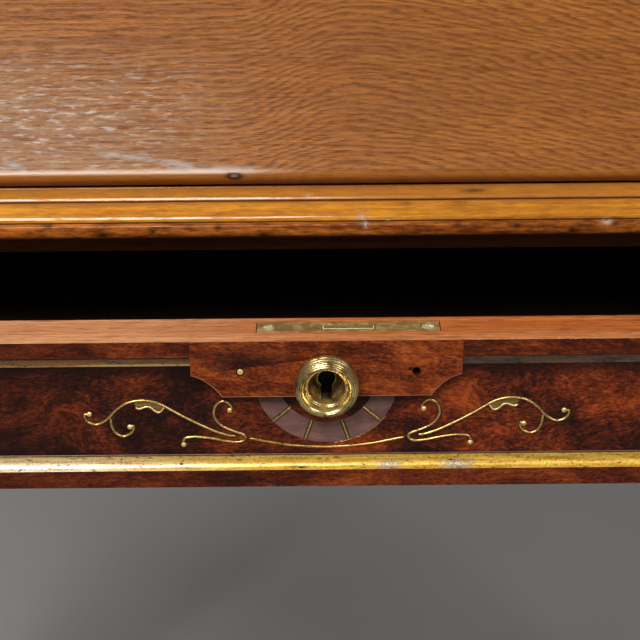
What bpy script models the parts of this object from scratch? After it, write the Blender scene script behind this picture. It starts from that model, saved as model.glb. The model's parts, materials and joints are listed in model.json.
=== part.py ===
import math

import bmesh
import bpy
from mathutils import Matrix, Vector

# All lengths are metres. The desk is drawn with y = 0 on the frieze face and z = 0 on the floor,
# then moved as a whole so that the origin lies under the middle of its bounding box.

# Clearances
JOINT_GAP = 0.0003  # between pieces that are glued or rest on each other
SLIDE_GAP = 0.0008  # around pieces that slide
BORE_GAP = 0.0003  # on the radius of a pin in its bore

# Stand
STAND_WIDTH = 0.700  # over the outer faces of the legs
STAND_DEPTH = 0.433  # front of the front legs to the back of the rear legs
STAND_HEIGHT = 0.700  # floor to the underside of the top
LEG_BLOCK = 0.046
LEG_BLOCK_HEIGHT = 0.120
LEG_PROUD = 0.003  # leg block ahead of the frieze face
FOOT_BLOCK = 0.040
FOOT_BLOCK_LOW = 0.130
FOOT_BLOCK_HIGH = 0.172
LEG_SPIGOT = 0.018  # radius of the turning where it runs into its blocks
LEG_NECK = (  # (radius, drop below the upper block)
    (0.0190, 0.004),
    (0.0222, 0.009),
    (0.0222, 0.014),
    (0.0170, 0.019),
    (0.0170, 0.025),
    (0.0208, 0.030),
    (0.0208, 0.035),
    (0.0160, 0.040),
    (0.0185, 0.052),
    (0.0225, 0.066),
    (0.0235, 0.084),
    (0.0225, 0.104),
)
LEG_ANKLE = (  # (radius, height above the foot block)
    (0.0145, 0.044),
    (0.0185, 0.038),
    (0.0185, 0.030),
    (0.0145, 0.024),
    (0.0172, 0.010),
)
LEG_COLLAR = (  # (radius, drop below the foot block)
    (0.0165, 0.008),
    (0.0205, 0.014),
    (0.0205, 0.021),
    (0.0150, 0.027),
    (0.0165, 0.040),
)
LEG_BUN = (  # (radius, height above the floor)
    (0.0220, 0.074),
    (0.0235, 0.055),
    (0.0205, 0.036),
    (0.0150, 0.018),
    (0.0130, 0.000),
)
UPPER_RAIL_HEIGHT = 0.016
LOWER_RAIL_HEIGHT = 0.018
RAIL_DEPTH = 0.042
FRIEZE_BOARD = 0.020
FRIEZE_SET_BACK = 0.005  # frieze board behind the outer face of the legs
GUIDE_FLANGE = 0.013
GUIDE_REACH = 0.016  # flange under and over the drawer side
STRETCHER_THICK = 0.022
STRETCHER_HEIGHT = 0.028
STRETCHER_MIDDLE = 0.151
STRETCHER_TURNING = (  # (radius, distance in from the end)
    (0.0085, 0.000),
    (0.0085, 0.012),
    (0.0120, 0.018),
    (0.0120, 0.026),
    (0.0085, 0.032),
)
STRETCHER_BELLY = (  # (radius, distance from the middle)
    (0.0105, 0.070),
    (0.0135, 0.062),
    (0.0095, 0.054),
    (0.0140, 0.022),
)

# Table top: (inset from the edge, height above its underside), from the bottom up
TOP_FRONT_OVERHANG = 0.025
TOP_SIDE_OVERHANG = 0.025
TOP_BACK_OVERHANG = 0.015
LOWER_BAND = (
    (0.0014, 0.0000),
    (0.0004, 0.0010),
    (0.0000, 0.0026),
    (0.0000, 0.0046),
    (0.0005, 0.0060),
    (0.0013, 0.0066),
    (0.0023, 0.0066),
)
UPPER_BANDS = (
    (0.0023, 0.0075),
    (0.0027, 0.0091),
    (0.0041, 0.0108),
    (0.0083, 0.0140),
    (0.0091, 0.0140),
    (0.0091, 0.0150),
    (0.0096, 0.0163),
    (0.0110, 0.0174),
    (0.0180, 0.0206),
)

# Drawer
DRAWER_OPEN = 0.097  # how far it stands open
DRAWER_SIDE_PLAY = 0.001
FRONT_HEIGHT = 0.070
FRONT_THICK = 0.0222
FRONT_BAND = 0.0075  # plain band along the top
FRONT_STRIP = 0.0080  # plain strip along the bottom
RECESS = 0.0052
VENEER = 0.0009
UPPER_COVE = 0.0053
LOWER_COVE = 0.0052
TABLET_WIDTH = 0.113
TABLET_HEIGHT = 0.0262
TABLET_CORNER_WIDTH = 0.0125
TABLET_CORNER_HEIGHT = 0.0101
TABLET_CORNER_HOLLOW = 0.0014  # depth of the hollow edge across a corner
TABLET_PROUD = 0.0002
PIN_RADIUS = 0.0013
PIN_HOLE_RADIUS = 0.0017
PIN_DEPTH = 0.0030
PIN_X = -0.0360
PIN_SPARE_X = 0.0375
PIN_DROP = 0.0143
KEY_DROP = 0.020  # keyhole below the top edge
KEY_HEAD_RADIUS = 0.0036
KEY_SLOT_WIDTH = 0.0046
KEY_SLOT_DROP = 0.0088
FAN_INNER = 0.0205
FAN_OUTER = 0.0305
FAN_TURN = math.radians(10)  # its ends tuck this far up behind the tablet
BOX_SET_IN = 0.002  # drawer sides inside the ends of the front
LINING = 0.010
LINING_HEIGHT = 0.058
BACK_DROP = 0.004  # drawer back below the top of the sides
DRAWER_LENGTH = 0.372  # drawer sides behind the front
BOTTOM_BOARD = 0.006
BOTTOM_LIFT = 0.006
BOTTOM_GROOVE = 0.004

# Ring escutcheons: (radius, height above the wood), from the mouth of the well outward
ESCUTCHEON = (
    (0.0096, 0.0040),
    (0.0098, 0.0066),
    (0.0104, 0.0078),
    (0.0111, 0.0083),
    (0.0119, 0.0080),
    (0.0127, 0.0070),
    (0.0133, 0.0056),
    (0.0135, 0.0040),
    (0.0133, 0.0026),
    (0.0133, 0.0018),
    (0.0136, 0.0013),
    (0.0136, 0.0000),
)
WELL_RADIUS = 0.0094  # the keyhole lies at the bottom of a well let into the wood
WELL_DEPTH = 0.0049
WELL_WALL = 0.0010
FALL_WELL_DEPTH = 0.0030

# Locks
LOCK_WIDTH = 0.058
LOCK_DROP = 0.036
LOCK_THICK = 0.010
LOCK_FROM_BACK = 0.0037  # wood behind the plate
LOCK_SHIFT = 0.0094  # lock centre right of the keyhole
SELVAGE_WIDTH = 0.077
SELVAGE_THICK = 0.002
BOLT_WIDTH = 0.022
BOLT_THICK = 0.004
BOLT_LENGTH = 0.0195
BOLT_TRAVEL = 0.007
SCREW_FROM_END = 0.0050
SCREW_HEAD_RADIUS = 0.00275
SCREW_SHANK_RADIUS = 0.0012
SCREW_LENGTH = 0.011

# Upper case
CASE_WIDTH = 0.700
CASE_BOARD = 0.019
CASE_BACK_BOARD = 0.008
CASE_TOP_BOARD = 0.018
CASE_TOP_OVERHANG = 0.004
CASE_TOE = 0.0105  # front of the sides behind the edge of the top

# Fall
FALL_THICK = 0.012
FALL_LENGTH = 0.308  # pin to the shoulder under the case top
FALL_SLOPE = math.radians(50)
FALL_NOSE = 0.0066  # radius of its lower edge about the pin
FALL_NOSE_EASE = 0.0012  # its outer arris taken off
FALL_LIFT = 0.0006  # lower edge above the top
FALL_SET_BACK = 0.0141  # pin behind the edge of the top
FALL_SIDE_PLAY = 0.0008
LIP_THICK = 0.005
FALL_PIN_RADIUS = 0.003
FALL_PIN_IN_FALL = 0.025
FALL_PIN_IN_SIDE = 0.010
FALL_INLAY_DEPTH = 0.0015
FALL_PANEL_WIDTH = 0.460
FALL_PANEL_LOW = 0.085
FALL_PANEL_MARGIN = 0.060  # panel below the shoulder
FALL_PANEL_CORNER = 0.026
FALL_PANEL_HOLLOW = 0.0076
LEATHER_WIDTH = 0.540
LEATHER_LOW = 0.030
LEATHER_BELOW_LOCK = 0.017
FALL_KEY_DROP = 0.022
FALL_LOCK_WIDTH = 0.060
FALL_LOCK_DROP = 0.036
FALL_LOCK_DEPTH = 0.006
FALL_SELVAGE_WIDTH = 0.068
FALL_BOLT_WIDTH = 0.018
FALL_BOLT_THICK = 0.0026
FALL_BOLT_FROM_FACE = 0.0034
FALL_BOLT_LENGTH = 0.020
FALL_BOLT_TRAVEL = 0.008

# Lopers
LOPER_WIDTH = 0.026
LOPER_LENGTH = 0.310
LOPER_MIDDLE = 0.288  # from the middle of the desk
LOPER_KNOB = ((0.0000, 0.0120), (0.0030, 0.0114), (0.0046, 0.0092), (0.0042, 0.0068), (0.0022, 0.0046))
LOPER_KNOB_SHANK = 0.0020
LOPER_KNOB_HOLE = 0.0095

# Pigeonholes and letter drawers
NEST_FRONT = 0.236  # front of the dividers behind the frieze face
NEST_BOARD = 0.008
CENTRE_BAY = 0.220
LETTER_HEIGHT = 0.052
LETTER_FRONT = 0.010
LETTER_WALL = 0.006
LETTER_FLOOR = 0.004
LETTER_TRAY_DROP = 0.004  # tray walls below the top of the front
LETTER_LENGTH = 0.165
LETTER_KNOB = ((0.0000, 0.0150), (0.0040, 0.0142), (0.0064, 0.0116), (0.0060, 0.0086), (0.0028, 0.0058))
LETTER_KNOB_SHANK = 0.0026
LETTER_KNOB_HOLE = 0.007

# Heights and lines that follow from the sizes above
TOP_THICK = UPPER_BANDS[-1][1]
TOP_SURFACE = STAND_HEIGHT + TOP_THICK
TOP_EDGE = -TOP_FRONT_OVERHANG
TOP_BACK = STAND_DEPTH - LEG_PROUD + TOP_BACK_OVERHANG
OPENING_HALF = STAND_WIDTH / 2 - LEG_BLOCK
DRAWER_TOP = STAND_HEIGHT - UPPER_RAIL_HEIGHT - SLIDE_GAP
DRAWER_LOW = DRAWER_TOP - FRONT_HEIGHT
FRIEZE_LOW = DRAWER_LOW - SLIDE_GAP - LOWER_RAIL_HEIGHT
FRONT_HALF = OPENING_HALF - DRAWER_SIDE_PLAY
FIELD = RECESS - JOINT_GAP - VENEER  # face of the burl veneer behind the drawer face
FALL_RADIUS = FALL_THICK / 2
CASE_INNER_HALF = CASE_WIDTH / 2 - CASE_BOARD
CASE_BACK = STAND_DEPTH - LEG_PROUD
PIN_Y = TOP_EDGE + FALL_SET_BACK
PIN_Z = TOP_SURFACE + FALL_LIFT + FALL_NOSE
BED_SURFACE = PIN_Z + FALL_RADIUS
SHELF_LOW = BED_SURFACE + LETTER_HEIGHT
FALL_PANEL_HIGH = FALL_LENGTH - FALL_PANEL_MARGIN
LEATHER_HIGH = FALL_LENGTH - FALL_LOCK_DROP - LEATHER_BELOW_LOCK
LIP_INNER = FALL_RADIUS - LIP_THICK
LIP_GAP = 0.0004
CASE_TOP_LOW = (
    PIN_Z
    + (FALL_LENGTH + LIP_GAP) * math.sin(FALL_SLOPE)
    + (LIP_INNER - LIP_GAP) * math.cos(FALL_SLOPE)
)
CASE_TOP_HIGH = CASE_TOP_LOW + CASE_TOP_BOARD
LOPER_LOW = STAND_HEIGHT + UPPER_BANDS[0][1]
ESCUTCHEON_HEIGHT = max(height for _, height in ESCUTCHEON)

for old in list(bpy.data.objects):
    bpy.data.objects.remove(old, do_unlink=True)

desk_parts = bpy.data.collections.new("slant_front_desk")
desk_cutters = bpy.data.collections.new("desk_cutters")
bpy.context.scene.collection.children.link(desk_parts)
bpy.context.scene.collection.children.link(desk_cutters)


def srgb(red, green, blue):
    def straight(value):
        value /= 255
        return value / 12.92 if value <= 0.04045 else ((value + 0.055) / 1.055) ** 2.4

    return straight(red), straight(green), straight(blue), 1.0


def finish(name, colour, roughness, metallic=0.0):
    material = bpy.data.materials.new(name)
    material.use_nodes = True
    shader = material.node_tree.nodes["Principled BSDF"]
    shader.inputs["Base Color"].default_value = srgb(*colour)
    shader.inputs["Roughness"].default_value = roughness
    shader.inputs["Metallic"].default_value = metallic
    material.diffuse_color = srgb(*colour)
    return material


golden_walnut = finish("golden_walnut", (178, 112, 50), 0.35)
stand_walnut = finish("stand_walnut", (150, 88, 42), 0.4)
red_mahogany = finish("red_mahogany", (150, 78, 46), 0.4)
burl_veneer = finish("burl_veneer", (92, 36, 18), 0.28)
crotch_mahogany = finish("crotch_mahogany", (146, 64, 28), 0.3)
grey_amaranth = finish("grey_amaranth", (98, 72, 70), 0.4)
gilt = finish("gilt", (205, 160, 62), 0.35, 0.7)
brass = finish("brass", (158, 126, 66), 0.35, 1.0)
drawer_oak = finish("drawer_oak", (176, 138, 92), 0.6)
writing_leather = finish("writing_leather", (92, 40, 30), 0.55)


def empty(name, location, parent=None, turn=0.0):
    frame = bpy.data.objects.new(name, None)
    frame.empty_display_size = 0.04
    frame.location = location
    frame.rotation_euler.x = turn
    frame.parent = parent
    desk_parts.objects.link(frame)
    return frame


def add(name, mesh, material, parent, location=(0, 0, 0), turn=(0, 0, 0)):
    piece = bpy.data.objects.new(name, mesh)
    piece.location = location
    piece.rotation_euler = turn
    piece.parent = parent
    if material is None:
        piece.hide_render = True
        piece.display_type = "WIRE"
        desk_cutters.objects.link(piece)
    else:
        mesh.materials.clear()
        mesh.materials.append(material)
        desk_parts.objects.link(piece)
    return piece


def board(name, x, y, z, material, parent):
    """A rectangular piece between two limits on each axis, with its origin at its middle."""
    limits = (x, y, z)
    size = Vector([high - low for low, high in limits])
    middle = Vector([(high + low) / 2 for low, high in limits])
    shape = bmesh.new()
    bmesh.ops.create_cube(shape, size=1.0, matrix=Matrix.Diagonal(size).to_4x4())
    mesh = bpy.data.meshes.new(name)
    shape.to_mesh(mesh)
    shape.free()
    return add(name, mesh, material, parent, middle)


PLANES = {
    "yz": Matrix(((0, 0, 1, 0), (1, 0, 0, 0), (0, 1, 0, 0), (0, 0, 0, 1))),
    "xz": Matrix(((1, 0, 0, 0), (0, 0, 1, 0), (0, 1, 0, 0), (0, 0, 0, 1))),
    "xy": Matrix.Identity(4),
}


def outline(name, points, plane, reach, material, parent):
    """A flat outline in a plane, given thickness from reach[0] to reach[1] along the third axis."""
    near, far = reach
    curve = bpy.data.curves.new(name, "CURVE")
    curve.dimensions = "2D"
    curve.fill_mode = "BOTH"
    curve.extrude = (far - near) / 2
    spline = curve.splines.new("POLY")
    spline.points.add(len(points) - 1)
    for knot, (across, up) in zip(spline.points, points):
        knot.co = (across, up, 0, 1)
    spline.use_cyclic_u = True
    sketch = bpy.data.objects.new(name + "_sketch", curve)
    bpy.context.scene.collection.objects.link(sketch)
    graph = bpy.context.evaluated_depsgraph_get()
    mesh = bpy.data.meshes.new_from_object(sketch.evaluated_get(graph))
    bpy.data.objects.remove(sketch)
    bpy.data.curves.remove(curve)
    mesh.name = name
    shape = bmesh.new()
    shape.from_mesh(mesh)
    bmesh.ops.remove_doubles(shape, verts=shape.verts, dist=1e-6)
    bmesh.ops.dissolve_limit(shape, angle_limit=0.001, verts=shape.verts, edges=shape.edges)
    bmesh.ops.transform(shape, verts=shape.verts, matrix=Matrix.Translation((0, 0, (near + far) / 2)))
    bmesh.ops.transform(shape, verts=shape.verts, matrix=PLANES[plane])
    bmesh.ops.recalc_face_normals(shape, faces=shape.faces)
    shape.to_mesh(mesh)
    shape.free()
    return add(name, mesh, material, parent)


def turned(name, profile, steps, material, parent, location, turn=(0, 0, 0)):
    """A profile of (radius, height), from the top down, carried round its own z axis."""
    mesh = bpy.data.meshes.new(name)
    points = [(radius, 0, height) for radius, height in profile]
    mesh.from_pydata(points, [(i, i + 1) for i in range(len(points) - 1)], [])
    piece = add(name, mesh, material, parent, location, turn)
    screw = piece.modifiers.new("turning", "SCREW")
    screw.axis = "Z"
    screw.steps = steps
    screw.render_steps = steps
    screw.use_merge_vertices = True
    screw.merge_threshold = 0.00001
    screw.use_smooth_shade = True
    return piece


def rod(name, radius, reach, sides, material, parent, location, turn=(0, 0, 0)):
    """A straight round piece along its own z axis, from reach[0] to reach[1]."""
    low, high = reach
    shape = bmesh.new()
    bmesh.ops.create_cone(
        shape, cap_ends=True, segments=sides, radius1=radius, radius2=radius, depth=high - low
    )
    bmesh.ops.translate(shape, verts=shape.verts, vec=(0, 0, (low + high) / 2))
    mesh = bpy.data.meshes.new(name)
    shape.to_mesh(mesh)
    shape.free()
    for face in mesh.polygons:
        face.use_smooth = len(face.vertices) == 4
    return add(name, mesh, material, parent, location, turn)


def boolean(piece, other, operation):
    modifier = piece.modifiers.new(other.name, "BOOLEAN")
    modifier.operation = operation
    modifier.solver = "EXACT"
    modifier.object = other


def cut(piece, *others):
    for other in others:
        boolean(piece, other, "DIFFERENCE")


def arc(middle, radii, start, end, count):
    """Points on an ellipse arc, angles in degrees."""
    points = []
    for i in range(count + 1):
        angle = math.radians(start + (end - start) * i / count)
        points.append((middle[0] + radii[0] * math.cos(angle), middle[1] + radii[1] * math.sin(angle)))
    return points


def keyhole(middle, gap):
    """A round head with a straight slot below it."""
    radius = KEY_HEAD_RADIUS + gap
    half = KEY_SLOT_WIDTH / 2 + gap
    foot = math.degrees(math.asin(half / radius))
    points = arc(middle, (radius, radius), -90 + foot, 270 - foot, 20)
    low = middle[1] - KEY_SLOT_DROP - gap
    return points + [(middle[0] - half, low), (middle[0] + half, low)]


def hollow_edge(start, end, depth):
    """Points on a shallow curve that bends to the left of the way from start to end."""
    across = (end[0] - start[0], end[1] - start[1])
    bend = 2 * depth / math.hypot(*across)
    pull = ((start[0] + end[0]) / 2 - across[1] * bend, (start[1] + end[1]) / 2 + across[0] * bend)
    points = []
    for i in range(9):
        t = i / 8
        weights = ((1 - t) ** 2, 2 * t * (1 - t), t * t)
        points.append(tuple(sum(w * p[k] for w, p in zip(weights, (start, pull, end))) for k in range(2)))
    return points


def clipped(half, low, high, corner, depth, both):
    """A tablet outline with hollowed corners, below only or all round."""
    wide, tall = corner
    points = [(half, high), (-half, high)]
    if both:
        points = hollow_edge((half, high - tall), (half - wide, high), depth)
        points += hollow_edge((-half + wide, high), (-half, high - tall), depth)
    points += hollow_edge((-half, low + tall), (-half + wide, low), depth)
    return points + hollow_edge((half - wide, low), (half, low + tall), depth)


def ring_profile(depth):
    """A ring escutcheon with a well of some depth, from the middle of its floor outward."""
    cup = WELL_RADIUS + WELL_WALL
    under = -depth - WELL_WALL
    floor = [(0, -depth), (WELL_RADIUS - 0.0004, -depth), (WELL_RADIUS, -depth + 0.0004)]
    return floor + list(ESCUTCHEON) + [(cup, 0), (cup, under), (0, under)]


FACE_FRONT = (math.pi / 2, 0, 0)  # turns a piece's z axis to the front
FACE_RIGHT = (0, math.pi / 2, 0)  # turns it to the right
SIDES = ((-1, "left"), (1, "right"))

foremost = -(DRAWER_OPEN + TABLET_PROUD + JOINT_GAP + ESCUTCHEON_HEIGHT)
desk = empty("desk", (0, -(foremost + TOP_BACK) / 2, 0))
drawer = empty("drawer_slide", (0, -DRAWER_OPEN, 0), desk)
fall = empty("fall_hinge", (0, PIN_Y, PIN_Z), desk, FALL_SLOPE)


def make_legs():
    block_low = STAND_HEIGHT - LEG_BLOCK_HEIGHT
    into_block = LEG_BLOCK / 2
    into_foot = (FOOT_BLOCK_HIGH - FOOT_BLOCK_LOW) / 4
    profile = [(0, block_low + into_block), (LEG_SPIGOT, block_low + into_block)]
    profile += [(radius, block_low - drop) for radius, drop in LEG_NECK]
    profile += [(radius, FOOT_BLOCK_HIGH + rise) for radius, rise in LEG_ANKLE]
    profile.append((LEG_ANKLE[-1][0], FOOT_BLOCK_HIGH - into_foot))
    profile.append((LEG_COLLAR[0][0], FOOT_BLOCK_LOW + into_foot))
    profile += [(radius, FOOT_BLOCK_LOW - drop) for radius, drop in LEG_COLLAR]
    profile += LEG_BUN
    profile.append((0, 0))
    half = LEG_BLOCK / 2
    foot_half = FOOT_BLOCK / 2
    shaft = turned("leg_shaft", profile, 20, None, None, (0, 0, 0))
    high = STAND_HEIGHT - JOINT_GAP
    block = board("leg_block", (-half, half), (-half, half), (block_low, high), None, None)
    foot = board(
        "leg_foot_block",
        (-foot_half, foot_half),
        (-foot_half, foot_half),
        (FOOT_BLOCK_LOW, FOOT_BLOCK_HIGH),
        None,
        None,
    )
    boolean(shaft, block, "UNION")
    boolean(shaft, foot, "UNION")
    graph = bpy.context.evaluated_depsgraph_get()
    mesh = bpy.data.meshes.new_from_object(shaft.evaluated_get(graph))
    mesh.name = "leg"
    for helper in (shaft, block, foot):
        bpy.data.objects.remove(helper)
    across = STAND_WIDTH / 2 - half
    front = half - LEG_PROUD
    rear = STAND_DEPTH - LEG_PROUD - half
    for side, word in SIDES:
        add("leg_front_" + word, mesh, stand_walnut, desk, (side * across, front, 0))
        add("leg_rear_" + word, mesh, stand_walnut, desk, (side * across, rear, 0))


def make_frieze():
    half = OPENING_HALF - JOINT_GAP
    high = STAND_HEIGHT - JOINT_GAP
    span = (-half, half)
    depth = (0, RAIL_DEPTH)
    upper_low = STAND_HEIGHT - UPPER_RAIL_HEIGHT
    upper = board("rail_above_drawer", span, depth, (upper_low, high), stand_walnut, desk)
    lower_high = FRIEZE_LOW + LOWER_RAIL_HEIGHT
    board("rail_below_drawer", span, depth, (FRIEZE_LOW, lower_high), stand_walnut, desk)
    back = STAND_DEPTH - LEG_PROUD - FRIEZE_SET_BACK
    board("frieze_back", span, (back - FRIEZE_BOARD, back), (FRIEZE_LOW, high), stand_walnut, desk)

    lock_back = FRONT_THICK - LOCK_FROM_BACK
    bolt_middle = lock_back - LOCK_THICK / 2
    play = SLIDE_GAP
    mortise = board(
        "drawer_bolt_mortise",
        (LOCK_SHIFT - BOLT_WIDTH / 2 - play, LOCK_SHIFT + BOLT_WIDTH / 2 + play),
        (bolt_middle - BOLT_THICK / 2 - play, bolt_middle + BOLT_THICK / 2 + play),
        (upper_low - 0.002, DRAWER_TOP + BOLT_TRAVEL + 0.001),
        None,
        desk,
    )
    cut(upper, mortise)

    leg_back = LEG_BLOCK - LEG_PROUD
    rear_leg = STAND_DEPTH - LEG_PROUD - LEG_BLOCK
    between = (leg_back + JOINT_GAP, rear_leg - JOINT_GAP)
    face = STAND_WIDTH / 2 - FRIEZE_SET_BACK
    inner = face - FRIEZE_BOARD - JOINT_GAP
    fence = FRONT_HALF - BOX_SET_IN + SLIDE_GAP
    reach = fence - GUIDE_REACH
    runner = DRAWER_LOW - JOINT_GAP
    kicker = DRAWER_LOW + LINING_HEIGHT + SLIDE_GAP
    channel = [
        (reach, runner - GUIDE_FLANGE),
        (inner, runner - GUIDE_FLANGE),
        (inner, kicker + GUIDE_FLANGE),
        (reach, kicker + GUIDE_FLANGE),
        (reach, kicker),
        (fence, kicker),
        (fence, runner),
        (reach, runner),
    ]
    for side, word in SIDES:
        limits = sorted((side * face, side * (face - FRIEZE_BOARD)))
        board("frieze_" + word, limits, between, (FRIEZE_LOW, high), stand_walnut, desk)
        points = [(side * across, up) for across, up in channel]
        outline("drawer_guide_" + word, points, "xz", between, drawer_oak, desk)


def make_stretchers():
    middle = STAND_WIDTH / 2 - LEG_BLOCK / 2
    half = STRETCHER_THICK / 2
    heights = (STRETCHER_MIDDLE - STRETCHER_HEIGHT / 2, STRETCHER_MIDDLE + STRETCHER_HEIGHT / 2)
    front = LEG_BLOCK / 2 - LEG_PROUD + FOOT_BLOCK / 2
    rear = STAND_DEPTH - LEG_PROUD - LEG_BLOCK / 2 - FOOT_BLOCK / 2
    for side, word in SIDES:
        board(
            "stretcher_" + word,
            (side * middle - half, side * middle + half),
            (front + JOINT_GAP, rear - JOINT_GAP),
            heights,
            stand_walnut,
            desk,
        )
    reach = middle - half - JOINT_GAP
    profile = [(0, reach)]
    profile += [(radius, reach - inward) for radius, inward in STRETCHER_TURNING]
    profile += STRETCHER_BELLY
    profile += [(radius, -along) for radius, along in reversed(profile)]
    place = (0, (front + rear) / 2, STRETCHER_MIDDLE)
    turned("stretcher_cross", profile, 16, stand_walnut, desk, place, FACE_RIGHT)


def make_table_top():
    half = STAND_WIDTH / 2 + TOP_SIDE_OVERHANG
    shape = bmesh.new()
    loops = []
    for inset, height in LOWER_BAND + UPPER_BANDS:
        z = STAND_HEIGHT + height
        side = half - inset
        front = TOP_EDGE + inset
        corners = ((-side, front), (side, front), (side, TOP_BACK), (-side, TOP_BACK))
        loops.append([shape.verts.new((x, y, z)) for x, y in corners])
    for low, high in zip(loops, loops[1:]):
        for i in (0, 1, 3):
            shape.faces.new((low[i], low[(i + 1) % 4], high[(i + 1) % 4], high[i]))
    shape.faces.new(loops[0][::-1])
    shape.faces.new(loops[-1])
    shape.faces.new([loop[2] for loop in loops] + [loop[3] for loop in reversed(loops)])
    bmesh.ops.recalc_face_normals(shape, faces=shape.faces)
    mesh = bpy.data.meshes.new("table_top")
    shape.to_mesh(mesh)
    shape.free()
    top = add("table_top", mesh, golden_walnut, desk)
    for side, word in SIDES:
        middle = side * LOPER_MIDDLE
        reach = LOPER_WIDTH / 2 + SLIDE_GAP / 2
        housing = board(
            "loper_housing_" + word,
            (middle - reach, middle + reach),
            (TOP_EDGE - 0.010, TOP_EDGE + LOPER_LENGTH + 0.004),
            (LOPER_LOW - JOINT_GAP, TOP_SURFACE + 0.010),
            None,
            desk,
        )
        cut(top, housing)


def make_lopers():
    nose = [(TOP_EDGE + inset, STAND_HEIGHT + height) for inset, height in UPPER_BANDS]
    nose[-1] = (nose[-1][0], TOP_SURFACE - JOINT_GAP)
    back = TOP_EDGE + LOPER_LENGTH
    section = nose + [(back, TOP_SURFACE - JOINT_GAP), (back, LOPER_LOW)]
    face = TOP_EDGE + UPPER_BANDS[3][0]
    height = (LOPER_LOW + TOP_SURFACE) / 2
    for side, word in SIDES:
        middle = side * LOPER_MIDDLE
        slide = empty("loper_slide_" + word, (middle, 0, 0), desk)
        half = LOPER_WIDTH / 2
        bar = outline("loper_" + word, section, "yz", (-half, half), golden_walnut, slide)
        knob = list(LOPER_KNOB)
        end = -LOPER_KNOB_HOLE
        knob += [(LOPER_KNOB_SHANK, 0.0030), (LOPER_KNOB_SHANK, end), (0, end)]
        turned("loper_knob_" + word, knob, 12, brass, slide, (0, face, height), FACE_FRONT)
        bore = rod(
            "loper_knob_bore_" + word,
            LOPER_KNOB_SHANK + BORE_GAP,
            (-LOPER_KNOB_HOLE - JOINT_GAP, 0.010),
            16,
            None,
            slide,
            (0, face, height),
            FACE_FRONT,
        )
        cut(bar, bore)


def make_drawer_box():
    outer = FRONT_HALF - BOX_SET_IN
    inner = outer - LINING
    start = FRONT_THICK + JOINT_GAP
    end = start + DRAWER_LENGTH
    floor = DRAWER_LOW + BOTTOM_LIFT
    heights = (DRAWER_LOW, DRAWER_LOW + LINING_HEIGHT)
    groove = board(
        "drawer_bottom_groove",
        (-inner - BOTTOM_GROOVE, inner + BOTTOM_GROOVE),
        (start - 0.010, end + 0.010),
        (floor - JOINT_GAP, floor + BOTTOM_BOARD + JOINT_GAP),
        None,
        drawer,
    )
    for side, word in SIDES:
        limits = sorted((side * outer, side * inner))
        lining = board("drawer_side_" + word, limits, (start, end), heights, drawer_oak, drawer)
        cut(lining, groove)
    span = inner - JOINT_GAP
    board(
        "drawer_back",
        (-span, span),
        (end - LINING, end),
        (floor + BOTTOM_BOARD + JOINT_GAP, heights[1] - BACK_DROP),
        drawer_oak,
        drawer,
    )
    reach = inner + BOTTOM_GROOVE - JOINT_GAP
    board("drawer_bottom", (-reach, reach), (start, end), (floor, floor + BOTTOM_BOARD), drawer_oak, drawer)


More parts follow.
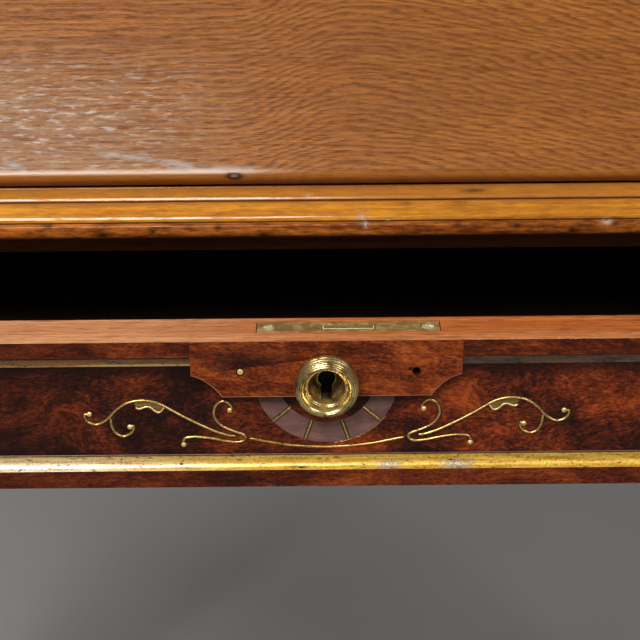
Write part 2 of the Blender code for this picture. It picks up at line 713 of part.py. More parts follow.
def make_drawer_front():
    top = DRAWER_TOP
    band = top - FRONT_BAND
    strip = top - FRONT_HEIGHT + FRONT_STRIP
    section = [
        (0, top),
        (0, band),
        (RECESS, band),
        (RECESS, strip),
        (0, strip),
        (0, DRAWER_LOW),
        (FRONT_THICK, DRAWER_LOW),
        (FRONT_THICK, top),
    ]
    front = outline("drawer_front", section, "yz", (-FRONT_HALF, FRONT_HALF), red_mahogany, drawer)
    seat = TABLET_WIDTH / 2 + JOINT_GAP
    notch = board("tablet_notch", (-seat, seat), (-0.010, FIELD), (band - 0.001, top + 0.010), None, drawer)
    cut(front, notch)

    key = (0, top - KEY_DROP)
    veneer = (FIELD, FIELD + VENEER)
    burl = board(
        "drawer_burl_panel",
        (-FRONT_HALF, FRONT_HALF),
        veneer,
        (strip + JOINT_GAP, band - JOINT_GAP),
        burl_veneer,
        drawer,
    )
    turn = math.degrees(FAN_TURN)
    start = 180 + turn
    end = 360 - turn
    fan = arc(key, (FAN_OUTER, FAN_OUTER), start, end, 28)
    fan += arc(key, (FAN_INNER, FAN_INNER), end, start, 28)
    outline("drawer_fan_inlay", fan, "xz", veneer, grey_amaranth, drawer)
    wide = FAN_OUTER + JOINT_GAP
    narrow = FAN_INNER - JOINT_GAP
    room = arc(key, (wide, wide), start - 1, end + 1, 28)
    room += arc(key, (narrow, narrow), end + 1, start - 1, 28)
    fan_room = outline("fan_room", room, "xz", (FIELD - 0.005, FIELD + 0.005), None, drawer)
    cut(burl, fan_room)

    depth = FIELD - JOINT_GAP
    upper = band - JOINT_GAP
    lower = strip + JOINT_GAP
    tablet_edge = TABLET_WIDTH / 2 + JOINT_GAP
    hollow = arc((0, upper - UPPER_COVE), (depth, UPPER_COVE), 90, 0, 8) + [(depth, upper)]
    for side, word in SIDES:
        limits = sorted((side * FRONT_HALF, side * tablet_edge))
        outline("drawer_gilt_cove_upper_" + word, hollow, "yz", limits, gilt, drawer)
    hollow = arc((0, lower + LOWER_COVE), (depth, LOWER_COVE), 0, -90, 8) + [(depth, lower)]
    outline("drawer_gilt_cove_lower", hollow, "yz", (-FRONT_HALF, FRONT_HALF), gilt, drawer)

    corner = (TABLET_CORNER_WIDTH, TABLET_CORNER_HEIGHT)
    points = clipped(TABLET_WIDTH / 2, top - TABLET_HEIGHT, top, corner, TABLET_CORNER_HOLLOW, False)
    tablet = outline("drawer_tablet", points, "xz", (-TABLET_PROUD, depth), crotch_mahogany, drawer)
    ring = (0, -TABLET_PROUD - JOINT_GAP, key[1])
    profile = ring_profile(WELL_DEPTH)
    escutcheon = turned("drawer_escutcheon", profile, 24, brass, drawer, ring, FACE_FRONT)
    wide = WELL_RADIUS + WELL_WALL + BORE_GAP
    reach = (-WELL_DEPTH - WELL_WALL - JOINT_GAP, 0.020)
    well = rod("drawer_well_bore", wide, reach, 24, None, drawer, ring, FACE_FRONT)
    cut(front, well)
    cut(burl, well)
    cut(tablet, well)
    lock_face = FRONT_THICK - LOCK_FROM_BACK - LOCK_THICK
    hole = outline("drawer_keyhole", keyhole(key, 0), "xz", (-0.020, lock_face + 0.001), None, drawer)
    cut(front, hole)
    cut(burl, hole)
    cut(tablet, hole)
    cut(escutcheon, hole)

    pin_z = top - PIN_DROP
    for word, across in (("pin", PIN_X), ("spare", PIN_SPARE_X)):
        place = (across, -TABLET_PROUD, pin_z)
        reach = (-PIN_DEPTH, 0.004)
        bore = rod("tablet_bore_" + word, PIN_HOLE_RADIUS, reach, 16, None, drawer, place, FACE_FRONT)
        cut(tablet, bore)
    place = (PIN_X, -TABLET_PROUD, pin_z)
    rod("tablet_pin", PIN_RADIUS, (-PIN_DEPTH + JOINT_GAP, 0.0002), 16, brass, drawer, place, FACE_FRONT)
    return front


def make_drawer_lock(front):
    top = DRAWER_TOP
    back = FRONT_THICK - LOCK_FROM_BACK
    face = back - LOCK_THICK
    half = LOCK_WIDTH / 2
    wing = SELVAGE_WIDTH / 2
    gap = JOINT_GAP
    body = (LOCK_SHIFT - half, LOCK_SHIFT + half)
    plate = (LOCK_SHIFT - wing, LOCK_SHIFT + wing)
    depth = (face, back)
    lock = board("drawer_lock", body, depth, (top - LOCK_DROP, top - 0.0005), brass, drawer)
    selvage = board("drawer_selvage", plate, depth, (top - SELVAGE_THICK, top), None, drawer)
    boolean(lock, selvage, "UNION")
    body = (body[0] - gap, body[1] + gap)
    plate = (plate[0] - gap, plate[1] + gap)
    depth = (face - gap, back + gap)
    low = top - LOCK_DROP - gap
    pocket = board("drawer_lock_pocket", body, depth, (low, top + 0.005), None, drawer)
    low = top - SELVAGE_THICK - gap
    selvage_bed = board("drawer_selvage_bed", plate, depth, (low, top + 0.006), None, drawer)
    cut(front, pocket, selvage_bed)

    middle = (face + back) / 2
    bolt_slide = empty("drawer_bolt_slide", (LOCK_SHIFT, middle, top), drawer)
    x = BOLT_WIDTH / 2
    y = BOLT_THICK / 2
    board("drawer_lock_bolt", (-x, x), (-y, y), (-BOLT_LENGTH, -0.0002), brass, bolt_slide)
    slot = board(
        "drawer_bolt_slot",
        (-x - gap, x + gap),
        (-y - gap, y + gap),
        (-BOLT_LENGTH - gap, 0.010),
        None,
        bolt_slide,
    )
    cut(lock, slot)
    screw = [
        (0.0000, -0.0002),
        (SCREW_HEAD_RADIUS, -0.0002),
        (SCREW_HEAD_RADIUS, -0.0012),
        (SCREW_SHANK_RADIUS, -0.0024),
        (SCREW_SHANK_RADIUS, -SCREW_LENGTH + 0.002),
        (0.0000, -SCREW_LENGTH),
    ]
    for side, word in SIDES:
        place = (LOCK_SHIFT + side * (SELVAGE_WIDTH / 2 - SCREW_FROM_END), middle, top)
        turned("drawer_lock_screw_" + word, screw, 12, brass, drawer, place)
        head = rod(
            "screw_head_bore_" + word,
            SCREW_HEAD_RADIUS + BORE_GAP,
            (-SELVAGE_THICK - 0.001, 0.010),
            16,
            None,
            drawer,
            place,
        )
        shank = rod(
            "screw_shank_bore_" + word,
            SCREW_SHANK_RADIUS + BORE_GAP,
            (-SCREW_LENGTH - gap, 0.010),
            16,
            None,
            drawer,
            place,
        )
        cut(lock, head)
        cut(front, head, shank)


def on_fall(along, out):
    """The height and depth in the desk of a point on the closed fall."""
    turn = FALL_SLOPE
    return (
        PIN_Y + along * math.cos(turn) - out * math.sin(turn),
        PIN_Z + along * math.sin(turn) + out * math.cos(turn),
    )


def fall_along(height, out):
    """How far up the closed fall a layer of it reaches a height in the desk."""
    return (height - PIN_Z - out * math.cos(FALL_SLOPE)) / math.sin(FALL_SLOPE)


def make_case():
    floor = TOP_SURFACE + JOINT_GAP
    under = CASE_TOP_LOW - JOINT_GAP
    toe = TOP_EDGE + CASE_TOE
    toe_high = PIN_Z + FALL_RADIUS * math.cos(FALL_SLOPE)
    toe_along = (toe - PIN_Y + FALL_RADIUS * math.sin(FALL_SLOPE)) / math.cos(FALL_SLOPE)
    toe_high += toe_along * math.sin(FALL_SLOPE)
    brow = on_fall(fall_along(under, FALL_RADIUS), FALL_RADIUS)
    section = [(CASE_BACK, floor), (CASE_BACK, under), brow, (toe, toe_high)]
    for inset, high in UPPER_BANDS:
        if inset >= CASE_TOE:
            section.append((TOP_EDGE + inset, STAND_HEIGHT + high + JOINT_GAP))
    inner = CASE_INNER_HALF
    for side, word in SIDES:
        limits = sorted((side * inner, side * CASE_WIDTH / 2))
        panel = outline("case_side_" + word, section, "yz", limits, golden_walnut, desk)
        bore = rod(
            "fall_pin_bore_side_" + word,
            FALL_PIN_RADIUS + BORE_GAP,
            (-0.005, FALL_PIN_IN_SIDE + JOINT_GAP),
            20,
            None,
            desk,
            (side * inner, PIN_Y, PIN_Z),
            (0, side * math.pi / 2, 0),
        )
        cut(panel, bore)

    span = inner - JOINT_GAP
    back = CASE_BACK - CASE_BACK_BOARD
    board("case_back", (-span, span), (back, CASE_BACK), (floor, under), stand_walnut, desk)

    foot = PIN_Y + FALL_NOSE + SLIDE_GAP
    edge = on_fall(fall_along(BED_SURFACE, -FALL_RADIUS), -FALL_RADIUS)[0] + SLIDE_GAP
    bed = [
        (foot, floor),
        (foot, BED_SURFACE - (edge - foot) * math.tan(FALL_SLOPE)),
        (edge, BED_SURFACE),
        (back - JOINT_GAP, BED_SURFACE),
        (back - JOINT_GAP, floor),
    ]
    outline("writing_bed", bed, "yz", (-span, span), golden_walnut, desk)

    low = on_fall(fall_along(CASE_TOP_LOW, FALL_RADIUS), FALL_RADIUS)
    high = on_fall(fall_along(CASE_TOP_HIGH, FALL_RADIUS), FALL_RADIUS)
    end = CASE_BACK + CASE_TOP_OVERHANG
    half = CASE_WIDTH / 2 + CASE_TOP_OVERHANG
    lid = [low, high, (end, CASE_TOP_HIGH), (end, CASE_TOP_LOW)]
    top = outline("case_top", lid, "yz", (-half, half), golden_walnut, desk)
    rebate = board(
        "fall_lip_rebate",
        (-inner, inner),
        (FALL_LENGTH - 0.020, FALL_LENGTH + 0.060),
        (LIP_INNER - LIP_GAP, FALL_RADIUS + 0.010),
        None,
        fall,
    )
    x = FALL_BOLT_WIDTH / 2 + SLIDE_GAP
    near = -FALL_RADIUS + FALL_BOLT_FROM_FACE - FALL_BOLT_THICK / 2 - SLIDE_GAP
    far = near + FALL_BOLT_THICK + 2 * SLIDE_GAP
    mortise = board(
        "fall_bolt_mortise",
        (-x, x),
        (FALL_LENGTH - 0.010, FALL_LENGTH + FALL_BOLT_TRAVEL + 0.002),
        (near, far),
        None,
        fall,
    )
    cut(top, rebate, mortise)


def make_nest():
    back = CASE_BACK - CASE_BACK_BOARD - JOINT_GAP
    floor = BED_SURFACE + JOINT_GAP
    under = CASE_TOP_LOW - JOINT_GAP
    half = CENTRE_BAY / 2
    for side, word in SIDES:
        limits = sorted((side * half, side * (half + NEST_BOARD)))
        board("pigeonhole_divider_" + word, limits, (NEST_FRONT, back), (floor, under), golden_walnut, desk)
        inner = half + NEST_BOARD + JOINT_GAP
        outer = CASE_INNER_HALF - JOINT_GAP
        limits = sorted((side * inner, side * outer))
        shelf = (SHELF_LOW, SHELF_LOW + NEST_BOARD)
        board("pigeonhole_shelf_" + word, limits, (NEST_FRONT, back), shelf, golden_walnut, desk)

        middle = side * (inner + outer) / 2
        slide = empty("letter_drawer_slide_" + word, (middle, NEST_FRONT, floor), desk)
        wide = (outer - inner) / 2 - SLIDE_GAP + JOINT_GAP
        high = LETTER_HEIGHT - JOINT_GAP - SLIDE_GAP
        front = board(
            "letter_drawer_front_" + word,
            (-wide, wide),
            (0, LETTER_FRONT),
            (0, high),
            crotch_mahogany,
            slide,
        )
        start = LETTER_FRONT + JOINT_GAP
        tray = board(
            "letter_drawer_tray_" + word,
            (-wide, wide),
            (start, start + LETTER_LENGTH),
            (0, high - LETTER_TRAY_DROP),
            drawer_oak,
            slide,
        )
        hollow = board(
            "letter_drawer_hollow_" + word,
            (-wide + LETTER_WALL, wide - LETTER_WALL),
            (start + LETTER_WALL, start + LETTER_LENGTH - LETTER_WALL),
            (LETTER_FLOOR, high + 0.010),
            None,
            slide,
        )
        cut(tray, hollow)
        knob = list(LETTER_KNOB)
        end = -LETTER_KNOB_HOLE
        knob += [(LETTER_KNOB_SHANK, 0.0040), (LETTER_KNOB_SHANK, end), (0, end)]
        place = (0, 0, LETTER_HEIGHT / 2)
        turned("letter_drawer_knob_" + word, knob, 12, brass, slide, place, FACE_FRONT)
        bore = rod(
            "letter_knob_bore_" + word,
            LETTER_KNOB_SHANK + BORE_GAP,
            (-LETTER_KNOB_HOLE - JOINT_GAP, 0.010),
            16,
            None,
            slide,
            place,
            FACE_FRONT,
        )
        cut(front, bore)


def make_fall():
    half = CASE_INNER_HALF - FALL_SIDE_PLAY
    radius = FALL_RADIUS
    spread = math.degrees(math.asin(radius / FALL_NOSE))
    ease = math.degrees(FALL_NOSE_EASE / FALL_NOSE)
    arris = -math.sqrt(FALL_NOSE ** 2 - radius ** 2)
    nose = arc((0, 0), (FALL_NOSE, FALL_NOSE), 180 + spread, 180 - spread + ease, 12)
    section = nose + [
        (arris + FALL_NOSE_EASE, radius),
        (fall_along(CASE_TOP_HIGH, radius), radius),
        (fall_along(CASE_TOP_HIGH, LIP_INNER), LIP_INNER),
        (FALL_LENGTH, LIP_INNER),
        (FALL_LENGTH, -radius),
    ]
    leaf = outline("fall_board", section, "yz", (-half, half), golden_walnut, fall)
    for side, word in SIDES:
        place = (side * half, 0, 0)
        outward = (0, side * math.pi / 2, 0)
        reach = (-FALL_PIN_IN_FALL, FALL_SIDE_PLAY + FALL_PIN_IN_SIDE)
        rod("fall_pivot_pin_" + word, FALL_PIN_RADIUS, reach, 20, brass, fall, place, outward)
        bore = rod(
            "fall_pin_bore_" + word,
            FALL_PIN_RADIUS + BORE_GAP,
            (-FALL_PIN_IN_FALL - JOINT_GAP, 0.010),
            20,
            None,
            fall,
            place,
            outward,
        )
        cut(leaf, bore)

    gap = JOINT_GAP
    floor = radius - FALL_INLAY_DEPTH
    wide = FALL_PANEL_WIDTH / 2
    corner = (FALL_PANEL_CORNER, FALL_PANEL_CORNER)
    hollow = FALL_PANEL_HOLLOW
    points = clipped(wide, FALL_PANEL_LOW, FALL_PANEL_HIGH, corner, hollow, True)
    outline("fall_panel", points, "xy", (floor + gap, radius - gap), burl_veneer, fall)
    points = clipped(wide + gap, FALL_PANEL_LOW - gap, FALL_PANEL_HIGH + gap, corner, hollow, True)
    cut(leaf, outline("fall_panel_bed", points, "xy", (floor, radius + 0.010), None, fall))

    wide = LEATHER_WIDTH / 2
    board(
        "fall_leather",
        (-wide, wide),
        (LEATHER_LOW, LEATHER_HIGH),
        (-radius + gap, -floor - gap),
        writing_leather,
        fall,
    )
    leather_bed = board(
        "fall_leather_bed",
        (-wide - gap, wide + gap),
        (LEATHER_LOW - gap, LEATHER_HIGH + gap),
        (-radius - 0.010, -floor),
        None,
        fall,
    )
    cut(leaf, leather_bed)

    key = (0, FALL_LENGTH - FALL_KEY_DROP)
    place = (0, key[1], radius + gap)
    ring = turned("fall_escutcheon", ring_profile(FALL_WELL_DEPTH), 24, brass, fall, place)
    wide = WELL_RADIUS + WELL_WALL + BORE_GAP
    reach = (-FALL_WELL_DEPTH - WELL_WALL - gap, 0.020)
    cut(leaf, rod("fall_well_bore", wide, reach, 24, None, fall, place))
    lock_front = -radius + gap + FALL_LOCK_DEPTH
    hole = outline("fall_keyhole", keyhole(key, 0), "xy", (lock_front - 0.001, radius + 0.020), None, fall)
    cut(leaf, hole)
    cut(ring, hole)
    return leaf


def make_fall_lock(leaf):
    radius = FALL_RADIUS
    gap = JOINT_GAP
    end = FALL_LENGTH - 0.0002
    plate = FALL_LENGTH - SELVAGE_THICK
    low = FALL_LENGTH - FALL_LOCK_DROP
    half = FALL_LOCK_WIDTH / 2
    wing = FALL_SELVAGE_WIDTH / 2
    inner = -radius + gap
    depth = (inner, inner + FALL_LOCK_DEPTH)
    lock = board("fall_lock", (-half, half), (low, end - 0.0005), depth, brass, fall)
    selvage = board("fall_selvage", (-wing, wing), (plate, end), depth, None, fall)
    boolean(lock, selvage, "UNION")
    half += gap
    wing += gap
    depth = (-radius - 0.010, inner + FALL_LOCK_DEPTH + gap)
    reach = (low - gap, FALL_LENGTH + 0.005)
    pocket = board("fall_lock_pocket", (-half, half), reach, depth, None, fall)
    reach = (plate - gap, FALL_LENGTH + 0.006)
    selvage_bed = board("fall_selvage_bed", (-wing, wing), reach, depth, None, fall)
    cut(leaf, pocket, selvage_bed)
    slide = empty("fall_bolt_slide", (0, FALL_LENGTH, -radius + FALL_BOLT_FROM_FACE), fall)
    x = FALL_BOLT_WIDTH / 2
    z = FALL_BOLT_THICK / 2
    board("fall_lock_bolt", (-x, x), (-FALL_BOLT_LENGTH, -0.0004), (-z, z), brass, slide)
    slot = board(
        "fall_bolt_slot",
        (-x - gap, x + gap),
        (-FALL_BOLT_LENGTH - gap, 0.010),
        (-z - gap, z + gap),
        None,
        slide,
    )
    cut(lock, slot)


make_legs()
make_frieze()
make_stretchers()
make_table_top()
make_lopers()
make_drawer_box()
make_drawer_lock(make_drawer_front())
make_case()
make_nest()
make_fall_lock(make_fall())
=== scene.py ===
import json
import math

import bmesh
import bpy
import numpy as np
from mathutils import Matrix, Vector


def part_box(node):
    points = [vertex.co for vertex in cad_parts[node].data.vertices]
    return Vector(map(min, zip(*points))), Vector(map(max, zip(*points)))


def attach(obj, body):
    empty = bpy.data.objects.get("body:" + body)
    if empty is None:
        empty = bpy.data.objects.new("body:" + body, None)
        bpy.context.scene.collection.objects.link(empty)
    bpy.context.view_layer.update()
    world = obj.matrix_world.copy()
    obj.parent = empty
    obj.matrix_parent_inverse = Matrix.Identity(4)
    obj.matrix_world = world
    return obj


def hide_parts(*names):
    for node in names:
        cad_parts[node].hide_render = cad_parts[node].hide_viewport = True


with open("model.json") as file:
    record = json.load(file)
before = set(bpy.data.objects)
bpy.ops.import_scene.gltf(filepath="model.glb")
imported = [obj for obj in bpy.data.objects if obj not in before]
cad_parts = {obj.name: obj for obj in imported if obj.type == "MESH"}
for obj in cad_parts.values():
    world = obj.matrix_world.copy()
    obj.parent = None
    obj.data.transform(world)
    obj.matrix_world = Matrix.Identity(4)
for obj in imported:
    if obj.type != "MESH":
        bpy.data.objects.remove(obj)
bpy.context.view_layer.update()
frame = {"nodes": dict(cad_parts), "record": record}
nodes = frame["nodes"]
bodyOf = {}
for bodyName, members in frame["record"]["behaviour"]["bodies"].items():
    bodyOf.update(dict.fromkeys(members, bodyName))
scene = bpy.context.scene
mm = 0.001


def middleOf(node):
    low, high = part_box(node)
    return (low + high) / 2


# places that finishes and shapes share
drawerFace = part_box("drawer_front")[0].y
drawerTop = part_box("drawer_front")[1].z
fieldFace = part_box("drawer_burl_panel")[0].y
keyDrop = 20.0  # mm from the drawer's top edge to its keyhole
quirkHeight = 7.05  # mm from the table top's lower edge to the quirk in its moulding
fallPin = middleOf("fall_pivot_pin_left")
fallSlope = math.radians(50)
cosFall, sinFall = math.cos(fallSlope), math.sin(fallSlope)


def onFall(along, out):
    # y and z of a place that is given up the fall and out of it, in mm from the pin
    y = fallPin.y + (along * cosFall - out * sinFall) * mm
    return y, fallPin.z + (along * sinFall + out * cosFall) * mm


# node helpers for the finishes: each finds its tree from the sockets that it is given
def isSocket(value):
    return isinstance(value, bpy.types.NodeSocket)


def setInputs(item, inputs):
    # a socket is linked, a plain value is set
    for key, value in inputs.items():
        if isSocket(value):
            item.id_data.links.new(value, item.inputs[key])
        else:
            item.inputs[key].default_value = value


def addNode(tree, kind, inputs=None, **settings):
    item = tree.nodes.new("ShaderNode" + kind)
    for key, value in settings.items():
        setattr(item, key, value)
    setInputs(item, inputs or {})
    return item.outputs


def calc(operation, *values):
    tree = next(value.id_data for value in values if isSocket(value))
    return addNode(tree, "Math", dict(enumerate(values)), operation=operation)[0]


def times(product, *others):
    for other in others:
        product = calc("MULTIPLY", product, other)
    return product


def timesPlus(value, factor, start):
    return calc("MULTIPLY_ADD", value, factor, start)


def minus(value, other):
    return calc("SUBTRACT", value, other)


def larger(most, *others):
    for other in others:
        most = calc("MAXIMUM", most, other)
    return most


def hypotenuse(first, second):
    return calc("SQRT", timesPlus(first, first, times(second, second)))


def vectorCalc(operation, first, second, key=1):
    return addNode(first.id_data, "VectorMath", {0: first, key: second}, operation=operation)[0]


def axes(place):
    return addNode(place.id_data, "SeparateXYZ", {0: place})


def turned(place, look):
    inputs = {"Vector": place, "Rotation": look["turn"], "Location": look["shift"]}
    return addNode(place.id_data, "Mapping", inputs)[0]


def noise(place, scale, detail=3.0, roughness=0.5, distortion=0.0):
    inputs = {"Vector": vectorCalc("MULTIPLY", place, scale), "Scale": 1.0, "Detail": detail}
    inputs.update({"Roughness": roughness, "Distortion": distortion})
    return addNode(place.id_data, "TexNoise", inputs)["Fac"]


def fromTo(value, low, high, newLow=0.0, newHigh=1.0):
    # a smooth step between low and high
    inputs = dict(enumerate((value, low, high, newLow, newHigh)))
    return addNode(value.id_data, "MapRange", inputs, interpolation_type="SMOOTHSTEP")[0]


def paint(tone):
    # sRGB bytes to linear light, while a socket passes as it is
    if isSocket(tone):
        return tone
    value = np.array(tone) / 255
    linear = np.where(value <= 0.04045, value / 12.92, ((value + 0.055) / 1.055) ** 2.4)
    return (*linear.tolist(), 1.0)


def blend(share, first, second):
    inputs = {0: share, 6: paint(first), 7: paint(second)}
    return addNode(share.id_data, "Mix", inputs, data_type="RGBA")[2]


def ramp(factor, stops):
    # each stop is a position and its sRGB bytes
    colour = addNode(factor.id_data, "ValToRGB", {0: factor})[0]
    elements = colour.node.color_ramp.elements
    while len(elements) < len(stops):
        elements.new(0.5)
    for element, (position, *tone) in zip(elements, stops):
        element.position = position
        element.color = paint(tone)
    return colour


def newGroup(name, inputs, outputs):
    # a plain number makes a value socket, three numbers a vector socket
    tree = bpy.data.node_groups.new(name, "ShaderNodeTree")
    for key, value in inputs.items():
        kind = "NodeSocketFloat" if isinstance(value, float) else "NodeSocketVector"
        tree.interface.new_socket(name=key, in_out="INPUT", socket_type=kind).default_value = value
    for key in outputs:
        tree.interface.new_socket(name=key, in_out="OUTPUT", socket_type="NodeSocketFloat")
    return tree, tree.nodes.new("NodeGroupInput").outputs, tree.nodes.new("NodeGroupOutput")


def makeGrainGroup():
    # growth rings, long streaks and open pores of a board whose grain runs along x
    inputs = {"Vector": (0, 0, 0), "Ring Count": 120.0, "Ring Warp": 2.0, "Fineness": 1.0}
    tree, given, out = newGroup("boardGrain", inputs, ("Rings", "Streaks", "Pores", "Mottle", "Height"))
    place = given["Vector"]
    _, across, deep = axes(place)
    wander = minus(noise(place, (4, 22, 22), 3.0, 0.55), 0.5)
    turns = times(timesPlus(deep, 0.6, across), given["Ring Count"])
    ring = calc("FRACT", timesPlus(wander, given["Ring Warp"], turns))
    fine = vectorCalc("SCALE", place, given["Fineness"], "Scale")
    streaks = noise(fine, (9, 300, 300), 5.0, 0.6, 0.3)
    pores = fromTo(noise(fine, (75, 1150, 1150), 2.0), 0.56, 0.70)
    mottle = noise(fine, (70, 330, 330), 6.0, 0.7)
    setInputs(out, {
        "Rings": times(fromTo(ring, 0.35, 0.9), fromTo(ring, 0.9, 1.0, 1.0, 0.0)),
        "Streaks": streaks,
        "Pores": pores,
        "Mottle": fromTo(mottle, 0.36, 0.62, 1.0, 0.0),
        "Height": timesPlus(pores, -1.0, times(streaks, 0.6)),
    })
    return tree


def makeFigureGroup():
    # flame-like figure of burl and crotch veneer, with fine fibre that follows it
    inputs = {"Vector": (0, 0, 0), "Size": 1.0, "Swirl": 0.02, "Cloud": (26, 26, 62), "Grain": (90, 90, 640)}
    tree, given, out = newGroup("veneerFigure", inputs, ("Figure", "Fibre", "Eyes"))
    place = vectorCalc("SCALE", given["Vector"], given["Size"], "Scale")
    drift = noise(place, (20, 20, 26), 2.0).node.outputs["Color"]
    drift = vectorCalc("SUBTRACT", drift, (0.5, 0.5, 0.5))
    swirled = vectorCalc("ADD", place, vectorCalc("SCALE", drift, given["Swirl"], "Scale"))
    setInputs(out, {
        "Figure": noise(swirled, given["Cloud"], 4.0, 0.6, 0.3),
        "Fibre": noise(swirled, given["Grain"], 4.0, 0.62, 0.4),
        "Eyes": fromTo(noise(swirled, (170, 170, 330), 2.0), 0.60, 0.74),
    })
    return tree


def makeWearGroup():
    # blotches of rubbed or dirty surface: a soft threshold on coarse noise, with a fine noise beside it
    inputs = {"Vector": (0, 0, 0), "Size": (120, 120, 120), "Start": 0.55, "Full": 0.68}
    tree, given, out = newGroup("surfaceWear", inputs, ("Mask", "Fine"))
    coarse = noise(given["Vector"], given["Size"], 5.0, 0.65)
    setInputs(out, {
        "Mask": fromTo(coarse, given["Start"], given["Full"]),
        "Fine": noise(given["Vector"], (900, 900, 900), 3.0, 0.6),
    })
    return tree


grainGroup = makeGrainGroup()
figureGroup = makeFigureGroup()
wearGroup = makeWearGroup()


def wear(place, size, start, full):
    inputs = {"Vector": place, "Size": size, "Start": start, "Full": full}
    return addNode(place.id_data, "Group", inputs, node_tree=wearGroup)


def marked(shader, name):
    return addNode(shader.id_data, "Attribute", attribute_name=name)["Fac"]


def newFinish(name, gloss=0.5, coatRough=0.03):
    material = bpy.data.materials.new(name)
    material.use_nodes = True
    shader = material.node_tree.nodes["Principled BSDF"]
    setInputs(shader, {"Specular IOR Level": gloss, "Coat Roughness": coatRough})
    return material, shader, addNode(material.node_tree, "TexCoord")["Object"]


def dress(shader, colour, rough, coat=0.0, metal=0.0):
    setInputs(shader, {"Base Color": colour, "Roughness": rough, "Coat Weight": coat, "Metallic": metal})


def bumped(shader, height, strength, depth):
    inputs = {"Height": height, "Strength": strength, "Distance": depth * mm}
    setInputs(shader, {"Normal": addNode(shader.id_data, "Bump", inputs)[0]})


# a look holds tones in sRGB bytes and the numbers of its grain or figure
plainWood = dict(
    turn=(0, 0, 0), shift=(0, 0, 0), rings=120.0, warp=2.0, fine=1.0, patch=0.35,
    ringDepth=0.5, mottle=0.25, poreDepth=0.5, rough=0.38, coat=0.12,
)
plainVeneer = dict(
    turn=(0, 0, 0), shift=(0, 0, 0), size=1.0, swirl=0.03, cloud=(26, 26, 62), grain=(90, 90, 640),
    speck=0.0, gloss=0.22, rough=0.25, coat=0.25,
)


def woodLook(place, look):
    # colour, roughness and height of a board: streaks from mid to light, dark ring edges, darker pores
    board = turned(place, look)
    inputs = {"Vector": board, "Ring Count": look["rings"], "Ring Warp": look["warp"], "Fineness": look["fine"]}
    grain = addNode(place.id_data, "Group", inputs, node_tree=grainGroup)
    colour = ramp(grain["Streaks"], ((0.34, *look["mid"]), (0.66, *look["light"])))
    patch = noise(board, (5, 24, 24), 2.0)
    colour = blend(fromTo(patch, 0.35, 0.7, 0.0, look["patch"]), colour, look["dark"])
    colour = blend(times(grain["Rings"], look["ringDepth"]), colour, look["dark"])
    colour = blend(times(grain["Mottle"], look["mottle"]), colour, look["dark"])
    colour = blend(times(grain["Pores"], look["poreDepth"]), colour, look["pore"])
    rough = timesPlus(grain["Pores"], 0.25, look["rough"])
    return colour, timesPlus(patch, 0.08, rough), grain["Height"]


def woodFinish(name, look):
    material, shader, place = newFinish(name, 0.28, 0.1)
    colour, rough, height = woodLook(place, look)
    dress(shader, colour, rough, look["coat"])
    bumped(shader, height, 0.35, 0.25)
    return material


def veneerLook(place, look):
    # colour and fibre of a veneer: figure and fibre added up and read through the stops, with dark eyes
    sheet = turned(place, look)
    inputs = {key.title(): look[key] for key in ("size", "swirl", "cloud", "grain")}
    figure = addNode(place.id_data, "Group", {"Vector": sheet, **inputs}, node_tree=figureGroup)
    value = timesPlus(figure["Fibre"], 0.38, times(figure["Figure"], 0.62))
    if look["speck"]:
        fine = noise(sheet, (620, 620, 1500), 3.0, 0.6)
        value = timesPlus(minus(fine, 0.5), look["speck"], value)
    eyes = times(figure["Eyes"], look["eyes"])
    return blend(eyes, ramp(value, look["stops"]), look["eye"]), figure["Fibre"]


def burlEdgeShade(place):
    # painted shade on the drawer's burl along its foot and under the upper coves, and darker towards its left
    x, _, up = axes(place)
    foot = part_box("drawer_burl_panel")[0].z
    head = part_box("drawer_gilt_cove_upper_left")[0].z
    left = fromTo(x, -130 * mm, -80 * mm, 0.55, 0.0)
    low = fromTo(up, foot + 1 * mm, foot + 9 * mm, 0.65, 0.0)
    return larger(left, low, fromTo(up, head - 8 * mm, head - 2 * mm, 0.0, 0.75))


def veneerFinish(name, look):
    material, shader, place = newFinish(name, look["gloss"], 0.1)
    colour, fibre = veneerLook(place, look)
    # painted shade along the burl's edges, in the tone that the look gives
    if "grime" in look:
        colour = blend(burlEdgeShade(place), colour, look["grime"])
    dress(shader, colour, timesPlus(fibre, 0.2, look["rough"]), look["coat"])
    bumped(shader, fibre, 0.2, 0.2)
    return material


# woods
goldenBoard = dict(plainWood, light=(158, 92, 34), mid=(128, 70, 23), dark=(90, 47, 16), pore=(62, 32, 12))
fallBoard = dict(
    goldenBoard, light=(162, 99, 38), mid=(131, 74, 24), turn=(-fallSlope, 0, 0),
    shift=(0, -(fallPin.y * cosFall + fallPin.z * sinFall), fallPin.y * sinFall - fallPin.z * cosFall),
    ringDepth=0.0, poreDepth=0.22, mottle=0.2, patch=0.3, rough=0.34, fine=1.9,
)
# the fall's own marks and the reach of its painted sheen, in metres across it and up it from the pin
fallFigure = dict(
    crown=0.012, lines=330.0, lean=0.3, soft=0.03, crest=0.018, crestFrom=-0.055,
    frostLeft=-0.125, frostRight=-0.015, rubbedLeft=-0.06,
    streaks=(
        ((-0.104, 0.0066), (-0.066, 0.0016), 0.0020),
        ((-0.078, 0.0034), (-0.056, -0.0018), 0.0032),
        ((-0.072, -0.0010), (-0.026, -0.0026), 0.0030),
        ((-0.146, 0.0050), (-0.132, -0.0034), 0.0034),
    ),
    knot=(-0.0402, -0.0048),
)


